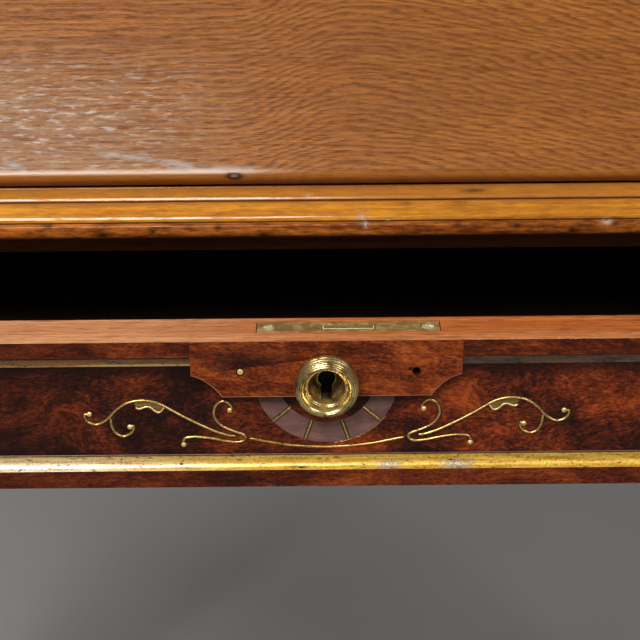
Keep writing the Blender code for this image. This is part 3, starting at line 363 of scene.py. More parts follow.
def fallRings(board, x, up):
    # dark lines at whole numbers of a height that rises away from the crown and on a crest left of it
    away = minus(x, fallFigure["crown"])
    right = calc("MAXIMUM", away, 0.0)
    far = calc("SQRT", timesPlus(right, right, fallFigure["soft"] ** 2))
    level = timesPlus(far, fallFigure["lean"], up)
    level = calc("ADD", level, fromTo(away, fallFigure["crestFrom"], 0.0, fallFigure["crest"], 0.0))
    wander = noise(board, (9, 50, 50), 4.0, 0.6)
    ring = calc("FRACT", timesPlus(wander, 5.0, times(level, fallFigure["lines"])))
    line = times(fromTo(ring, 0.2, 0.75), fromTo(ring, 0.8, 1.0, 1.0, 0.0))
    broken = noise(board, (160, 420, 420), 4.0, 0.65)
    return times(line, fromTo(broken, 0.35, 0.6, 0.2, 0.75))


def fallStreaks(x, up):
    # soft bands round straight lines from start to end, fading out over a fifth at both ends
    streak = 0.0
    for (startX, startUp), (endX, endUp), width in fallFigure["streaks"]:
        slope = (endUp - startUp) / (endX - startX)
        offLine = timesPlus(x, -slope, minus(up, startUp - slope * startX))
        band = fromTo(calc("ABSOLUTE", offLine), 0.0, width, 1.0, 0.0)
        opened = fromTo(x, startX, 0.8 * startX + 0.2 * endX)
        closing = fromTo(x, 0.2 * startX + 0.8 * endX, endX, 1.0, 0.0)
        streak = calc("MAXIMUM", streak, times(band, opened, closing))
    return streak


def makeFallWood():
    # ring lines bent round a crown; painted sheen at the left, a scar, and a painted highlight along the lower
    # arris
    material, shader, place = newFinish("fallWood", 0.13, 0.14)
    colour, rough, height = woodLook(place, fallBoard)
    board = turned(place, fallBoard)
    x, up, _ = axes(board)
    colour = blend(fallRings(board, x, up), colour, fallBoard["dark"])
    # painted sheen over the left of the fall above its nose: pale clouds and silvery flecks, whose flecks also
    # raise the bump
    left = times(
        fromTo(x, fallFigure["frostLeft"], fallFigure["frostRight"], 1.0, 0.0),
        fromTo(up, 25 * mm, 70 * mm, 1.0, 0.0),
        fromTo(up, -4.2 * mm, -3.2 * mm),
    )
    sheenClouds = noise(board, (30, 190, 190), 5.0, 0.7)
    colour = blend(times(left, fromTo(sheenClouds, 0.35, 0.65, 0.0, 0.3)), colour, (164, 142, 102))
    sheenFade = times(left, fromTo(up, 4 * mm, 20 * mm, 0.55, 0.95))
    sheenFlecks = fromTo(noise(board, (120, 560, 560), 4.5, 0.66, 0.12), 0.5, 0.68)
    sheenFlecks = times(sheenFade, times(sheenFlecks, 0.66))
    colour = blend(sheenFlecks, colour, (202, 190, 180))
    frayed = noise(board, (90, 330, 330), 5.0, 0.7)
    # pale grey streaks: painted sheen near the lower edge, except the one at the far left, which is a scar
    streak = times(fallStreaks(x, up), fromTo(frayed, 0.36, 0.62, 0.05, 0.75))
    colour = blend(streak, colour, (160, 150, 144))
    # painted highlight along the lower arris, fading out towards the right
    rubbed = times(
        fromTo(up, -3.2 * mm, -1.0 * mm, 0.55, 0.0),
        fromTo(up, -4.6 * mm, -3.6 * mm),
        fromTo(x, fallFigure["rubbedLeft"], 0.0, 1.0, 0.0),
    )
    colour = blend(rubbed, colour, (240, 212, 190))
    colour = blend(fromTo(up, -4.2 * mm, -3.4 * mm, 0.45, 0.0), colour, (196, 122, 54))
    knotX, knotUp = fallFigure["knot"]
    gap = hypotenuse(times(minus(x, knotX), 0.3), minus(up, knotUp))
    gap = timesPlus(minus(frayed, 0.5), 2.5 * mm, gap)
    colour = blend(fromTo(gap, 0.6 * mm, 1.7 * mm, 0.85, 0.0), colour, (46, 28, 18))
    colour = blend(fromTo(gap, 0.1 * mm, 0.5 * mm, 0.5, 0.0), colour, (160, 148, 138))
    dress(shader, colour, rough, times(left, 0.04))
    bumped(shader, timesPlus(sheenFlecks, 0.7, height), 0.6, 0.25)
    return material


fallWood = makeFallWood()
alongDepth, standing = (0, 0, -math.pi / 2), (0, math.pi / 2, 0)  # turns of the grain
caseBoard = dict(goldenBoard, rings=110.0, warp=1.5)
alongX = woodFinish("goldenAlongWidth", dict(caseBoard, ringDepth=0.4))
alongY = woodFinish("goldenAlongDepth", dict(caseBoard, turn=alongDepth))
upright = woodFinish("goldenUpright", dict(caseBoard, turn=standing))
standBoard = dict(
    plainWood, light=(168, 104, 52), mid=(132, 76, 38), dark=(84, 44, 22), pore=(58, 30, 16), rings=130.0,
)
standAlongX = woodFinish("standAlongWidth", standBoard)
standAlongY = woodFinish("standAlongDepth", dict(standBoard, turn=alongDepth))
standUpright = woodFinish("standUpright", dict(standBoard, turn=standing, warp=1.2))
liningBoard = dict(
    plainWood, light=(70, 48, 32), mid=(52, 34, 22), dark=(34, 22, 15), pore=(22, 14, 10),
    rings=200.0, rough=0.6, coat=0.0,
)
liningAlongX = woodFinish("liningAlongWidth", liningBoard)
liningAlongY = woodFinish("liningAlongDepth", dict(liningBoard, turn=alongDepth))
goldenMoulding = dict(
    plainWood, light=(220, 150, 34), mid=(188, 112, 20), dark=(116, 60, 12), pore=(78, 40, 10),
    rings=160.0, warp=1.2, ringDepth=0.3, poreDepth=0.4, mottle=0.42, rough=0.36, fine=1.5,
)
redMoulding = dict(
    goldenMoulding, light=(210, 122, 44), mid=(158, 80, 28), dark=(58, 24, 9), pore=(40, 17, 8), mottle=0.75,
)


def makeMouldingWood(name, turn):
    # golden bands above the quirk, redder wood below it, with chips and spots from the piece's attributes
    material, shader, place = newFinish(name, 0.08, 0.11)
    golden, rough, height = woodLook(place, dict(goldenMoulding, turn=turn))
    red = woodLook(place, dict(redMoulding, turn=turn))[0]
    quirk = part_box("table_top")[0].z + quirkHeight * mm
    above = times(minus(axes(place)[2], quirk), 1 / mm)
    golden = blend(times(fromTo(above, 5.2, 6.6), 0.4), golden, (150, 92, 44))
    # painted light: the ledge above the upper quirk lightened a little
    golden = blend(fromTo(above, 8.6, 9.2, 0.0, 0.12), golden, (232, 146, 60))
    colour = blend(fromTo(above, -0.4, 0.4), red, golden)
    # painted shade: dark lines in the two quirks
    quirkShade = larger(calc("COMPARE", above, 0.05, 0.42), calc("COMPARE", above, 7.2, 0.22))
    colour = blend(times(quirkShade, 0.7), colour, (44, 21, 9))
    broken = noise(place, (420, 420, 420), 4.0, 0.6)
    chipped = times(marked(shader, "chip"), fromTo(broken, 0.36, 0.54), 0.85)
    colour = blend(chipped, colour, (172, 156, 142))
    spotted = times(marked(shader, "spot"), fromTo(broken, 0.35, 0.6, 0.7, 1.0))
    colour = blend(spotted, colour, (24, 12, 7))
    varnish = wear(place, (110, 420, 420), 0.36, 0.56)["Mask"]
    sound = fromTo(above, -0.6, 0.2, 0.3, 1.0)
    dress(shader, colour, rough, times(sound, fromTo(varnish, 0.0, 1.0, 0.35, 1.0)))
    bumped(shader, height, 0.35, 0.2)
    return material


mouldingAlongX = makeMouldingWood("mouldingFront", (0, 0, 0))
mouldingAlongY = makeMouldingWood("mouldingSide", alongDepth)
bareWood = dict(
    plainWood, light=(196, 112, 54), mid=(160, 82, 36), dark=(112, 54, 24), pore=(80, 38, 18),
    rings=640.0, warp=3.0, ringDepth=0.5, poreDepth=0.7, patch=0.3, mottle=0.4, fine=1.5,
)
wornAndLitWood = dict(
    bareWood, light=(232, 178, 130), mid=(206, 146, 98), dark=(150, 92, 56), pore=(110, 62, 38),
)


def bareEdge(place):
    # the worn upper edge of the drawer: orange-brown, paler and pinker towards the face from wear, and paler
    # towards the left partly from wear and partly as painted light
    x, back, _ = axes(place)
    pale = fromTo(back, drawerFace + 3 * mm, drawerFace + 8 * mm, 0.3, 0.0)
    # towards the left the paler tone is partly painted light
    pale = calc("ADD", pale, fromTo(x, -90 * mm, 20 * mm, 0.6, 0.0))
    return blend(pale, woodLook(place, bareWood)[0], woodLook(place, wornAndLitWood)[0])


drawerPolish = dict(
    plainVeneer, stops=((0.36, 44, 15, 7), (0.47, 78, 28, 11), (0.56, 112, 45, 17), (0.70, 150, 72, 27)),
    eye=(38, 14, 8), eyes=0.5, size=1.6, swirl=0.02, cloud=(22, 22, 70), grain=(120, 120, 640), speck=0.4,
)


def makeDrawerFrontWood():
    # bare worn edge on top, dark polish on the face, pale specks rubbed along the front arris
    material, shader, place = newFinish("drawerFrontWood", 0.13, 0.1)
    x, back, up = axes(place)
    colour, fibre = veneerLook(place, drawerPolish)
    colour = blend(fromTo(x, -140 * mm, -50 * mm, 0.45, 0.0), colour, drawerPolish["stops"][0][1:])
    behind = times(
        fromTo(back, drawerFace + 9 * mm, drawerFace + 11 * mm),
        fromTo(up, drawerTop - 4 * mm, drawerTop - 2 * mm, 1.0, 0.0),
    )
    bare = larger(fromTo(up, drawerTop - 0.35 * mm, drawerTop - 0.1 * mm), behind)
    colour = blend(bare, colour, bareEdge(place))
    # painted shade: the walls of the keyhole's bore through the drawer front made nearly black
    boreShade = times(
        fromTo(hypotenuse(x, minus(up, drawerTop - keyDrop * mm)), 10 * mm, 10.4 * mm, 1.0, 0.0),
        fromTo(back, drawerFace + 4 * mm, drawerFace + 5 * mm),
    )
    colour = blend(boreShade, colour, (12, 8, 6))
    specks = times(
        fromTo(up, drawerTop - 1.1 * mm, drawerTop - 0.2 * mm),
        fromTo(back, drawerFace + 0.2 * mm, drawerFace + 1.4 * mm, 1.0, 0.0),
        wear(place, (420, 420, 420), 0.62, 0.70)["Mask"],
    )
    colour = blend(specks, colour, (226, 206, 190))
    rough = timesPlus(bare, 0.18, timesPlus(fibre, 0.2, 0.28))
    dress(shader, colour, rough, timesPlus(bare, -0.08, 0.08))
    bumped(shader, fibre, 0.3, 0.2)
    return material


drawerFrontWood = makeDrawerFrontWood()
burlWood = veneerFinish("burlVeneer", dict(
    plainVeneer, stops=((0.36, 34, 11, 6), (0.46, 64, 22, 9), (0.56, 104, 40, 14), (0.68, 150, 66, 22)),
    eye=(38, 12, 8), eyes=0.5, turn=(0, 0.18, 0), rough=0.3, coat=0.06,
))
# the drawer's burl carries the tone of the painted shade along its edges
drawerBurl = veneerFinish("drawerBurlVeneer", dict(
    plainVeneer, stops=((0.40, 26, 8, 4), (0.47, 58, 20, 8), (0.55, 108, 41, 14), (0.63, 160, 70, 24)),
    eye=(30, 10, 6), eyes=0.45, cloud=(24, 24, 38), grain=(380, 380, 900), shift=(0.57, 0, 0.31),
    rough=0.34, coat=0.05, gloss=0.16, grime=(26, 9, 5), speck=0.22,
))
tabletPolish = dict(
    plainVeneer, stops=((0.36, 62, 22, 9), (0.46, 102, 40, 15), (0.55, 138, 60, 21), (0.68, 172, 88, 33)),
    eye=(52, 20, 10), eyes=0.5, size=1.9, swirl=0.02, turn=(0, -0.12, 0), speck=0.5,
)
pinMiddle = middleOf("tablet_pin")
tabletStains = (  # x, z and radius of the spare hole, a nick beside it and the dirt round the pin
    (37.7 * mm, drawerTop - 14.6 * mm, 2.0 * mm),
    (34.9 * mm, drawerTop - 13.4 * mm, 0.8 * mm),
    (pinMiddle.x, pinMiddle.z, 1.9 * mm),
)


def makeTabletWood():
    # mottled polish with dark stains on the face, the bare edge of the drawer on top
    material, shader, place = newFinish("crotchVeneer", 0.13, 0.1)
    colour, fibre = veneerLook(place, tabletPolish)
    x, _, up = axes(place)
    for stainX, stainZ, radius in tabletStains:
        gap = hypotenuse(minus(x, stainX), minus(up, stainZ))
        colour = blend(fromTo(gap, radius * 0.7, radius * 1.15, 0.9, 0.0), colour, (22, 9, 5))
    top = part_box("drawer_tablet")[1].z
    bare = fromTo(up, top - 0.25 * mm, top - 0.1 * mm)
    colour = blend(bare, colour, bareEdge(place))
    dress(shader, colour, timesPlus(fibre, 0.2, 0.3), timesPlus(bare, -0.08, 0.08))
    bumped(shader, fibre, 0.2, 0.2)
    return material


tabletWood = makeTabletWood()
letterWood = veneerFinish("letterFrontVeneer", dict(
    plainVeneer, stops=((0.34, 70, 26, 12), (0.46, 118, 50, 21), (0.56, 152, 72, 31), (0.70, 188, 108, 52)),
    eye=(62, 24, 12), eyes=0.6, size=1.15, swirl=0.02,
))
tabletEdge = woodFinish("tabletWornEdge", dict(
    plainWood, light=(206, 158, 116), mid=(176, 120, 80), dark=(120, 66, 36), pore=(92, 48, 26), rough=0.4,
))
filletWood = woodFinish("filletWood", dict(
    plainWood, light=(150, 116, 98), mid=(118, 84, 70), dark=(62, 34, 24), pore=(44, 24, 16),
    coat=0.6, mottle=0.5,
))
fanWood = veneerFinish("amaranthInlay", dict(
    plainVeneer, stops=((0.34, 92, 62, 56), (0.5, 122, 86, 78), (0.66, 146, 108, 98)),
    eye=(80, 52, 48), eyes=0.3, size=1.4, rough=0.35, coat=0.05,
))


def wornAndSheenCove(colour, place, brushed, fine):
    # a painted sheen whitening it towards the left, and worn to grey along its foot at two places
    x, _, up = axes(place)
    low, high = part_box("drawer_gilt_cove_lower")
    # painted sheen: whitened towards the left and the lower edge
    whiteSheen = times(
        fromTo(x, -140 * mm, -20 * mm, 0.75, 0.0),
        fromTo(up, low.z, high.z, 1.0, 0.3),
        fromTo(brushed, 0.4, 0.52, 0.35, 1.0),
    )
    colour = blend(whiteSheen, colour, (250, 240, 222))
    for middle, wide, strength in ((26.8, 8, 0.75), (56, 10, 0.85)):
        aside = calc("ABSOLUTE", minus(x, middle * mm))
        foot = fromTo(up, low.z + 1.2 * mm, low.z + 3.2 * mm, 1.0, 0.0)
        near = times(fromTo(aside, 0.0, wide * mm, strength, 0.0), foot)
        colour = blend(times(near, 0.7), colour, (120, 108, 92))
        colour = blend(times(near, fromTo(fine, 0.46, 0.54)), colour, (172, 172, 174))
    return colour


def shadeAndHighlightCove(colour, place, brushed, fine):
    # painted shade darkening it towards its upper edge, with a broken painted highlight along its foot
    up = axes(place)[2]
    low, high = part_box("drawer_gilt_cove_upper_left")
    # painted shade above, painted highlight along the foot below
    colour = blend(fromTo(up, low.z + 1.0 * mm, high.z, 0.0, 0.9), colour, (44, 28, 18))
    offLine = calc("ABSOLUTE", minus(up, low.z + 0.5 * mm))
    broken = fromTo(noise(place, (16, 40, 300)), 0.42, 0.56, 0.25, 1.0)
    return blend(times(fromTo(offLine, 0.0, 0.8 * mm, 0.9, 0.0), broken), colour, (246, 200, 124))


def makeGilding(name, dull, bright, ground, worn, rough, shine=0.4, ageing=None):
    # gold leaf brushed along x, rubbed through to the red ground, with dark scratches
    material, shader, place = newFinish(name, coatRough=0.16)
    rubbed = wear(place, (90, 160, 260), worn, worn + 0.1)
    dirt = wear(place, (330, 900, 900), 0.575, 0.66)["Mask"]
    brushed = noise(place, (45, 700, 1000), 5.0, 0.65)
    brushed = timesPlus(rubbed["Fine"], 0.35, times(brushed, 0.65))
    leaf = ramp(brushed, ((0.38, *dull), (0.62, *bright)))
    colour = blend(rubbed["Mask"], leaf, ground)
    if ageing:
        colour = ageing(colour, place, brushed, rubbed["Fine"])
    colour = blend(dirt, colour, (46, 28, 14))
    metal = timesPlus(larger(rubbed["Mask"], dirt), -0.8 * shine, shine)
    dress(shader, colour, timesPlus(rubbed["Fine"], 0.3, rough), 0.5, metal)
    bumped(shader, rubbed["Fine"], 0.25, 0.2)
    return material


goldTones = ((176, 126, 30), (244, 200, 84), (120, 70, 30))
brightGilt = makeGilding("wornGilt", *goldTones, 0.60, 0.2)
coveGilt = makeGilding("rubbedAndSheenGilt", *goldTones, 0.60, 0.2, ageing=wornAndSheenCove)
bronzeTones = ((126, 82, 38), (206, 144, 68), (88, 54, 32))
dullGilt = makeGilding("bronzedGilt", *bronzeTones, 0.56, 0.22, ageing=shadeAndHighlightCove)
# painted shade: a darker copy of the bronzed gilding for the right-hand upper cove
darkGilt = makeGilding("shadedGilt", (92, 68, 46), (128, 94, 60), (58, 40, 32), 0.50, 0.25)
lineGilt = makeGilding("inlaidLine", (176, 126, 48), (246, 206, 120), (112, 70, 30), 0.64, 0.16, 0.85)
dotGilt = makeGilding("inlaidDot", (222, 184, 106), (252, 226, 160), (180, 136, 66), 0.70, 0.22, 0.6)
leafGilt = makeGilding("inlaidLeaf", (104, 76, 30), (150, 116, 52), (82, 52, 24), 0.58, 0.3)


def makeBrass(name, clean, patina, dirt, start, metal):
    # clean metal under blotches of patina, darkened where the cavity attribute is high
    material, shader, place = newFinish(name)
    aged = wear(place, (190, 190, 190), start, start + 0.2)
    cavity = marked(shader, "cavity")
    colour = blend(cavity, blend(aged["Mask"], clean, patina), dirt)
    rough = timesPlus(cavity, 0.2, timesPlus(aged["Mask"], 0.18, 0.2))
    dress(shader, colour, rough, metal=metal)
    bumped(shader, aged["Fine"], 0.2, 0.1)
    return material


ringBrass = makeBrass("escutcheonBrass", (242, 212, 142), (118, 90, 50), (34, 25, 16), 0.44, 0.92)
plateBrass = makeBrass("lockBrass", (158, 132, 80), (120, 96, 54), (48, 36, 22), 0.40, 0.25)
boltBrass = makeBrass("boltBrass", (148, 126, 78), (112, 92, 54), (48, 36, 22), 0.40, 0.25)
rubbedBrass = makeBrass("rubbedBrass", (228, 214, 174), (202, 184, 138), (110, 88, 54), 0.5, 0.2)
screwBrass = makeBrass("screwBrass", (176, 164, 128), (146, 130, 92), (44, 32, 20), 0.42, 0.2)
pinBrass = makeBrass("pinBrass", (232, 200, 122), (206, 166, 88), (110, 80, 44), 0.6, 0.35)
knobBrass = makeBrass("knobBrass", (206, 170, 96), (150, 116, 62), (60, 42, 24), 0.5, 0.8)


def makeLeather():
    # blotched red-brown hide over a fine grain of cells
    material, shader, place = newFinish("writingLeather")
    cells = addNode(place.id_data, "TexVoronoi", {"Vector": place, "Scale": 900.0})["Distance"]
    blotch = noise(place, (14, 14, 14), 4.0)
    colour = ramp(blotch, ((0.3, 70, 26, 20), (0.55, 98, 40, 28), (0.75, 122, 58, 40)))
    dress(shader, colour, timesPlus(blotch, 0.2, 0.38))
    bumped(shader, cells, 0.35, 0.3)
    return material


def makeSpeckled(name, size, deep, pale, rough):
    # plain matt surface that varies a little between two tones
    material, shader, place = newFinish(name)
    dress(shader, ramp(noise(place, (size,) * 3), ((0.3, *deep), (0.7, *pale))), rough)
    return material


writingLeather = makeLeather()
darkLine = makeSpeckled("darkLine", 800, (18, 11, 8), (40, 24, 16), 0.8)
# near-black finish for the discs of painted shade behind the keyholes
keyDark = makeSpeckled("keyDark", 800, (3, 2, 2), (9, 6, 5), 0.8)
print("finishes made:", len(bpy.data.materials))


# shapes
def gridQuads(rows, cols, wrapRows=False):
    # quads between the neighbours on a grid whose rows are closed on themselves
    row = np.arange(rows if wrapRows else rows - 1)[:, None] * cols
    col = np.arange(cols)[None, :]
    nextRow, nextCol = (row + cols) % (rows * cols), (col + 1) % cols
    quads = np.stack((row + col, row + nextCol, nextRow + nextCol, nextRow + col), -1)
    return quads.reshape(-1, 4).tolist()


def closedTube(points):
    # rows of rings: quads between the rings and one face at each end
    rows, cols = points.shape[:2]
    caps = [list(range(cols)), list(range((rows - 1) * cols, rows * cols))]
    return points.reshape(-1, 3), gridQuads(rows, cols) + caps


def carried(section, left, right, stations):
    # a closed (y, z) section carried along x
    points = np.empty((stations, len(section), 3))
    points[..., 0] = np.linspace(left, right, stations)[:, None]
    points[..., 1:] = section
    return closedTube(points)


def eased(points, radii, count=6):
    # each corner of a profile becomes a quadratic curve that starts its radius before the corner
    points = np.asarray(points, float)
    radii = np.broadcast_to(np.asarray(radii, float), len(points))[1:-1, None]
    corner, before, after = points[1:-1], points[:-2] - points[1:-1], points[2:] - points[1:-1]
    lengthBefore = np.linalg.norm(before, axis=1, keepdims=True)
    lengthAfter = np.linalg.norm(after, axis=1, keepdims=True)
    most = 0.499  # of a side, so that two curves on it don't meet
    start = corner + before / lengthBefore * np.minimum(radii, lengthBefore * most)
    end = corner + after / lengthAfter * np.minimum(radii, lengthAfter * most)
    t = np.linspace(0, 1, count)[None, :, None]
    curve = (1 - t) ** 2 * start[:, None] + 2 * t * (1 - t) * corner[:, None] + t ** 2 * end[:, None]
    return np.concatenate((points[:1], curve.reshape(-1, points.shape[1]), points[-1:]))


def refine(profile, step):
    # extra points along a profile so that no span is longer than the step
    span = np.linalg.norm(np.diff(profile, axis=0), axis=1)
    count = np.maximum(1, np.ceil(span / step).astype(int))
    start = np.repeat(np.arange(len(count)), count)
    share = (np.arange(len(start)) - np.repeat(np.cumsum(count) - count, count)) / np.repeat(count, count)
    points = profile[start] + (profile[start + 1] - profile[start]) * share[:, None]
    return np.concatenate((points, profile[-1:]))


def smoothPath(points, count=8):
    # Catmull-Rom curve through the points
    points = np.asarray(points, float)
    padded = np.concatenate((2 * points[:1] - points[1:2], points, 2 * points[-1:] - points[-2:-1]))
    p0, p1, p2, p3 = (padded[i:len(padded) - 3 + i, None] for i in range(4))
    t = np.linspace(0, 1, count, endpoint=False)[None, :, None]
    square, cube = 2 * p0 - 5 * p1 + 4 * p2 - p3, 3 * p1 - p0 - 3 * p2 + p3
    curve = 0.5 * (2 * p1 + (p2 - p0) * t + square * t ** 2 + cube * t ** 3)
    return np.concatenate((curve.reshape(-1, points.shape[1]), points[-1:]))


def runAlong(path):
    # distance of each point from the start of its path
    return np.concatenate(((0,), np.cumsum(np.linalg.norm(np.diff(path, axis=0), axis=1))))


def sideways(path):
    # unit vectors at right angles to a flat path
    tangent = np.gradient(path, axis=0)
    tangent /= np.maximum(np.linalg.norm(tangent, axis=1, keepdims=True), 1e-9)
    return np.stack((-tangent[:, 1], tangent[:, 0]), -1)


def roundedBoard(low, high, radius, steps=3):
    # a box with a ball rolled round it: angle a goes round the section, angle b from end to end
    low, high = np.array(low), np.array(high)
    order = np.argsort(high - low)
    half, middle = (high - low)[order] / 2, (high + low)[order] / 2
    radius = min(radius, half[0] * 0.9)
    a = np.radians((np.arange(4)[:, None] * 90 + np.linspace(0, 90, steps + 1)[None, :]).ravel())
    sign = np.repeat(np.array(((1, 1), (-1, 1), (-1, -1), (1, -1))), steps + 1, axis=0)
    b = np.radians(np.concatenate((np.linspace(-90, 0, steps + 1), np.linspace(0, 90, steps + 1))))
    end = np.repeat((-1, 1), steps + 1)
    core = sign * (half[:2] - radius)
    section = core[None] + radius * np.cos(b)[:, None, None] * np.stack((np.cos(a), np.sin(a)), -1)[None]
    along = end * (half[2] - radius) + radius * np.sin(b)
    points = np.empty((len(b), len(a), 3))
    points[..., order[:2]] = section + middle[:2]
    points[..., order[2]] = along[:, None] + middle[2]
    return closedTube(points)


def lathe(profile, steps=64):
    # a profile of (radius, height) carried round z
    profile = np.asarray(profile, float)
    angle = np.linspace(0, 2 * math.pi, steps, endpoint=False)
    radius, height = profile[:, :1], np.repeat(profile[:, 1:], steps, axis=1)
    return closedTube(np.stack((radius * np.cos(angle), radius * np.sin(angle), height), -1))


def moved(shell, turn, to):
    # a shell turned by a 3 x 3 matrix and then moved
    points, faces = shell
    return points @ np.array(turn).T + np.array(to), faces


noTurn = np.eye(3)
faceFront = ((1, 0, 0), (0, 0, -1), (0, 1, 0))  # z turns to the front
faceRight = ((0, 0, 1), (0, 1, 0), (-1, 0, 0))  # z turns to the right
faceFall = ((1, 0, 0), (0, cosFall, -sinFall), (0, sinFall, cosFall))  # y turns up the fall, z out of it
mergeGap = 2e-6


def addPiece(name, mesh, finishes, node, body, sharp):
    mesh.materials.clear()
    for finish in finishes:
        mesh.materials.append(finish)
    mesh.shade_smooth()
    mesh.set_sharp_from_angle(angle=math.radians(sharp))
    piece = bpy.data.objects.new(name, mesh)
    scene.collection.objects.link(piece)
    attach(piece, body or bodyOf[node])
    if node:
        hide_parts(node)
    return piece


def build(name, shells, finish, node=None, body=None, sharp=35, second=()):
    # each shell is merged and turned outward, then all go into one object that rides on its body
    mesh = bpy.data.meshes.new(name)
    joined = bmesh.new()
    for points, faces in shells:
        mesh.clear_geometry()
        mesh.from_pydata(np.asarray(points).tolist(), [], faces)
        shape = bmesh.new()
        shape.from_mesh(mesh)
        bmesh.ops.remove_doubles(shape, verts=shape.verts, dist=mergeGap)
        bmesh.ops.dissolve_degenerate(shape, dist=mergeGap / 2, edges=shape.edges)
        bmesh.ops.recalc_face_normals(shape, faces=shape.faces)
        shape.to_mesh(mesh)
        shape.free()
        joined.from_mesh(mesh)
    joined.to_mesh(mesh)
    joined.free()
    return addPiece(name, mesh, (finish, *second), node, body, sharp)


def easedCopy(name, node, finish, slotName, width, worn=None, angle=40, sharp=30):
    # a merged copy of a CAD node whose arrises are rounded by a Bevel, in the worn finish where one is given
    mesh = nodes[node].data.copy()
    mesh.name = name
    shape = bmesh.new()
    shape.from_mesh(mesh)
    bmesh.ops.remove_doubles(shape, verts=shape.verts, dist=mergeGap)
    bmesh.ops.dissolve_limit(shape, angle_limit=0.004, verts=shape.verts, edges=shape.edges)
    shape.to_mesh(mesh)
    shape.free()
    mesh.polygons.foreach_set("material_index", np.zeros(len(mesh.polygons), np.int32))
    piece = addPiece(name, mesh, (finish,), node, None, sharp)
    bevel = piece.modifiers.new("easedArrises", "BEVEL")
    bevel.width = width * mm
    bevel.segments = 2
    bevel.limit_method = "ANGLE"
    bevel.angle_limit = math.radians(angle)
    bevel.harden_normals = True
    if worn:
        mesh.materials.append(worn)
        bevel.material = len(mesh.materials) - 1
    return piece


def pointsOf(mesh):
    points = np.empty(len(mesh.vertices) * 3)
    mesh.vertices.foreach_get("co", points)
    return points.reshape(-1, 3)


def mark(piece, name, values):
    # a number per vertex, for the finishes
    attribute = piece.data.attributes.new(name, "FLOAT", "POINT")
    attribute.data.foreach_set("value", np.ascontiguousarray(values, dtype=np.float32))


# plain boards: name, node, finish, slot, rounding in mm
boards = (
    ("railBelowDrawer", "rail_below_drawer", standAlongX, "stand_walnut", 1.0),
    ("friezeBack", "frieze_back", standAlongX, "stand_walnut", 1.0),
    ("friezeLeft", "frieze_left", standAlongY, "stand_walnut", 1.0),
    ("friezeRight", "frieze_right", standAlongY, "stand_walnut", 1.0),
    ("stretcherLeft", "stretcher_left", standAlongY, "stand_walnut", 2.0),
    ("stretcherRight", "stretcher_right", standAlongY, "stand_walnut", 2.0),
    ("drawerSideLeft", "drawer_side_left", liningAlongY, "drawer_oak", 1.5),
    ("drawerSideRight", "drawer_side_right", liningAlongY, "drawer_oak", 1.5),
    ("drawerBack", "drawer_back", liningAlongX, "drawer_oak", 1.0),
    ("drawerBottom", "drawer_bottom", liningAlongX, "drawer_oak", 0.6),
    ("caseBack", "case_back", standAlongX, "stand_walnut", 0.8),
    ("dividerLeft", "pigeonhole_divider_left", upright, "golden_walnut", 0.8),
    ("dividerRight", "pigeonhole_divider_right", upright, "golden_walnut", 0.8),
    ("shelfLeft", "pigeonhole_shelf_left", alongX, "golden_walnut", 0.8),
    ("shelfRight", "pigeonhole_shelf_right", alongX, "golden_walnut", 0.8),
    ("letterFrontLeft", "letter_drawer_front_left", letterWood, "crotch_mahogany", 1.0),
    ("letterFrontRight", "letter_drawer_front_right", letterWood, "crotch_mahogany", 1.0),
)
for pieceName, node, finish, slotName, rounding in boards:
    build(pieceName, [roundedBoard(*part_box(node), rounding * mm)], finish, node)
print("boards built:", len(boards))

# boards with cuts or slopes keep their CAD shape under eased arrises
easedBoards = (
    ("railAboveDrawer", "rail_above_drawer", standAlongX, "stand_walnut", 0.8),
    ("caseSideLeft", "case_side_left", alongY, "golden_walnut", 1.0),
    ("caseSideRight", "case_side_right", alongY, "golden_walnut", 1.0),
    ("caseTop", "case_top", alongX, "golden_walnut", 0.5),
    ("writingBed", "writing_bed", alongX, "golden_walnut", 0.6),
    ("fallPanel", "fall_panel", burlWood, "burl_veneer", 0.15),
    ("drawerFront", "drawer_front", drawerFrontWood, "red_mahogany", 0.3),
    ("drawerLock", "drawer_lock", plateBrass, "brass", 0.2),
    ("fallLock", "fall_lock", plateBrass, "brass", 0.2),
    ("fallBolt", "fall_lock_bolt", plateBrass, "brass", 0.25),
    ("letterTrayLeft", "letter_drawer_tray_left", liningAlongY, "drawer_oak", 0.5),
    ("letterTrayRight", "letter_drawer_tray_right", liningAlongY, "drawer_oak", 0.5),
)
for easedBoard in easedBoards:
    easedCopy(*easedBoard)
fallPiece = easedCopy("fallBoard", "fall_board", fallWood, "golden_walnut", 0.4, angle=14, sharp=12)
# rounded nose strip along the fall's lower edge, in mm up the fall and out of it from the pin
fallNose = dict(
    face=6.03, start=3.0, end=-2.5, corner=-3.75, rounding=1.3, back=-5.0,
    arris=7.05, arrisAngle=126.0, foot=6.4, footAngle=215.0, tail=20.0, endGap=0.05,
    shrinkFrom=-0.5, shrinkReach=6.8, shrink=0.14,
)


def noseSection():
    # the face, then a curve round the pin whose radius falls from the arris to the foot, closed in the board
    angle = np.radians(np.linspace(fallNose["arrisAngle"], fallNose["footAngle"] + fallNose["tail"], 28))
    span = np.radians(fallNose["footAngle"] - fallNose["arrisAngle"])
    share = np.clip((angle - angle[0]) / span, 0, 1)
    radius = fallNose["arris"] + (fallNose["foot"] - fallNose["arris"]) * share * share * (3 - 2 * share)
    curve = np.stack((np.cos(angle), np.sin(angle)), -1) * radius[:, None]
    start, face, back = fallNose["start"], fallNose["face"], fallNose["back"]
    edge = np.array(((fallNose["end"], face), (fallNose["corner"], face), curve[2]))
    inside = ((curve[-1, 0], back), (start, back))
    return np.concatenate((((start, face),), eased(edge, fallNose["rounding"], 8), curve[3:], inside))


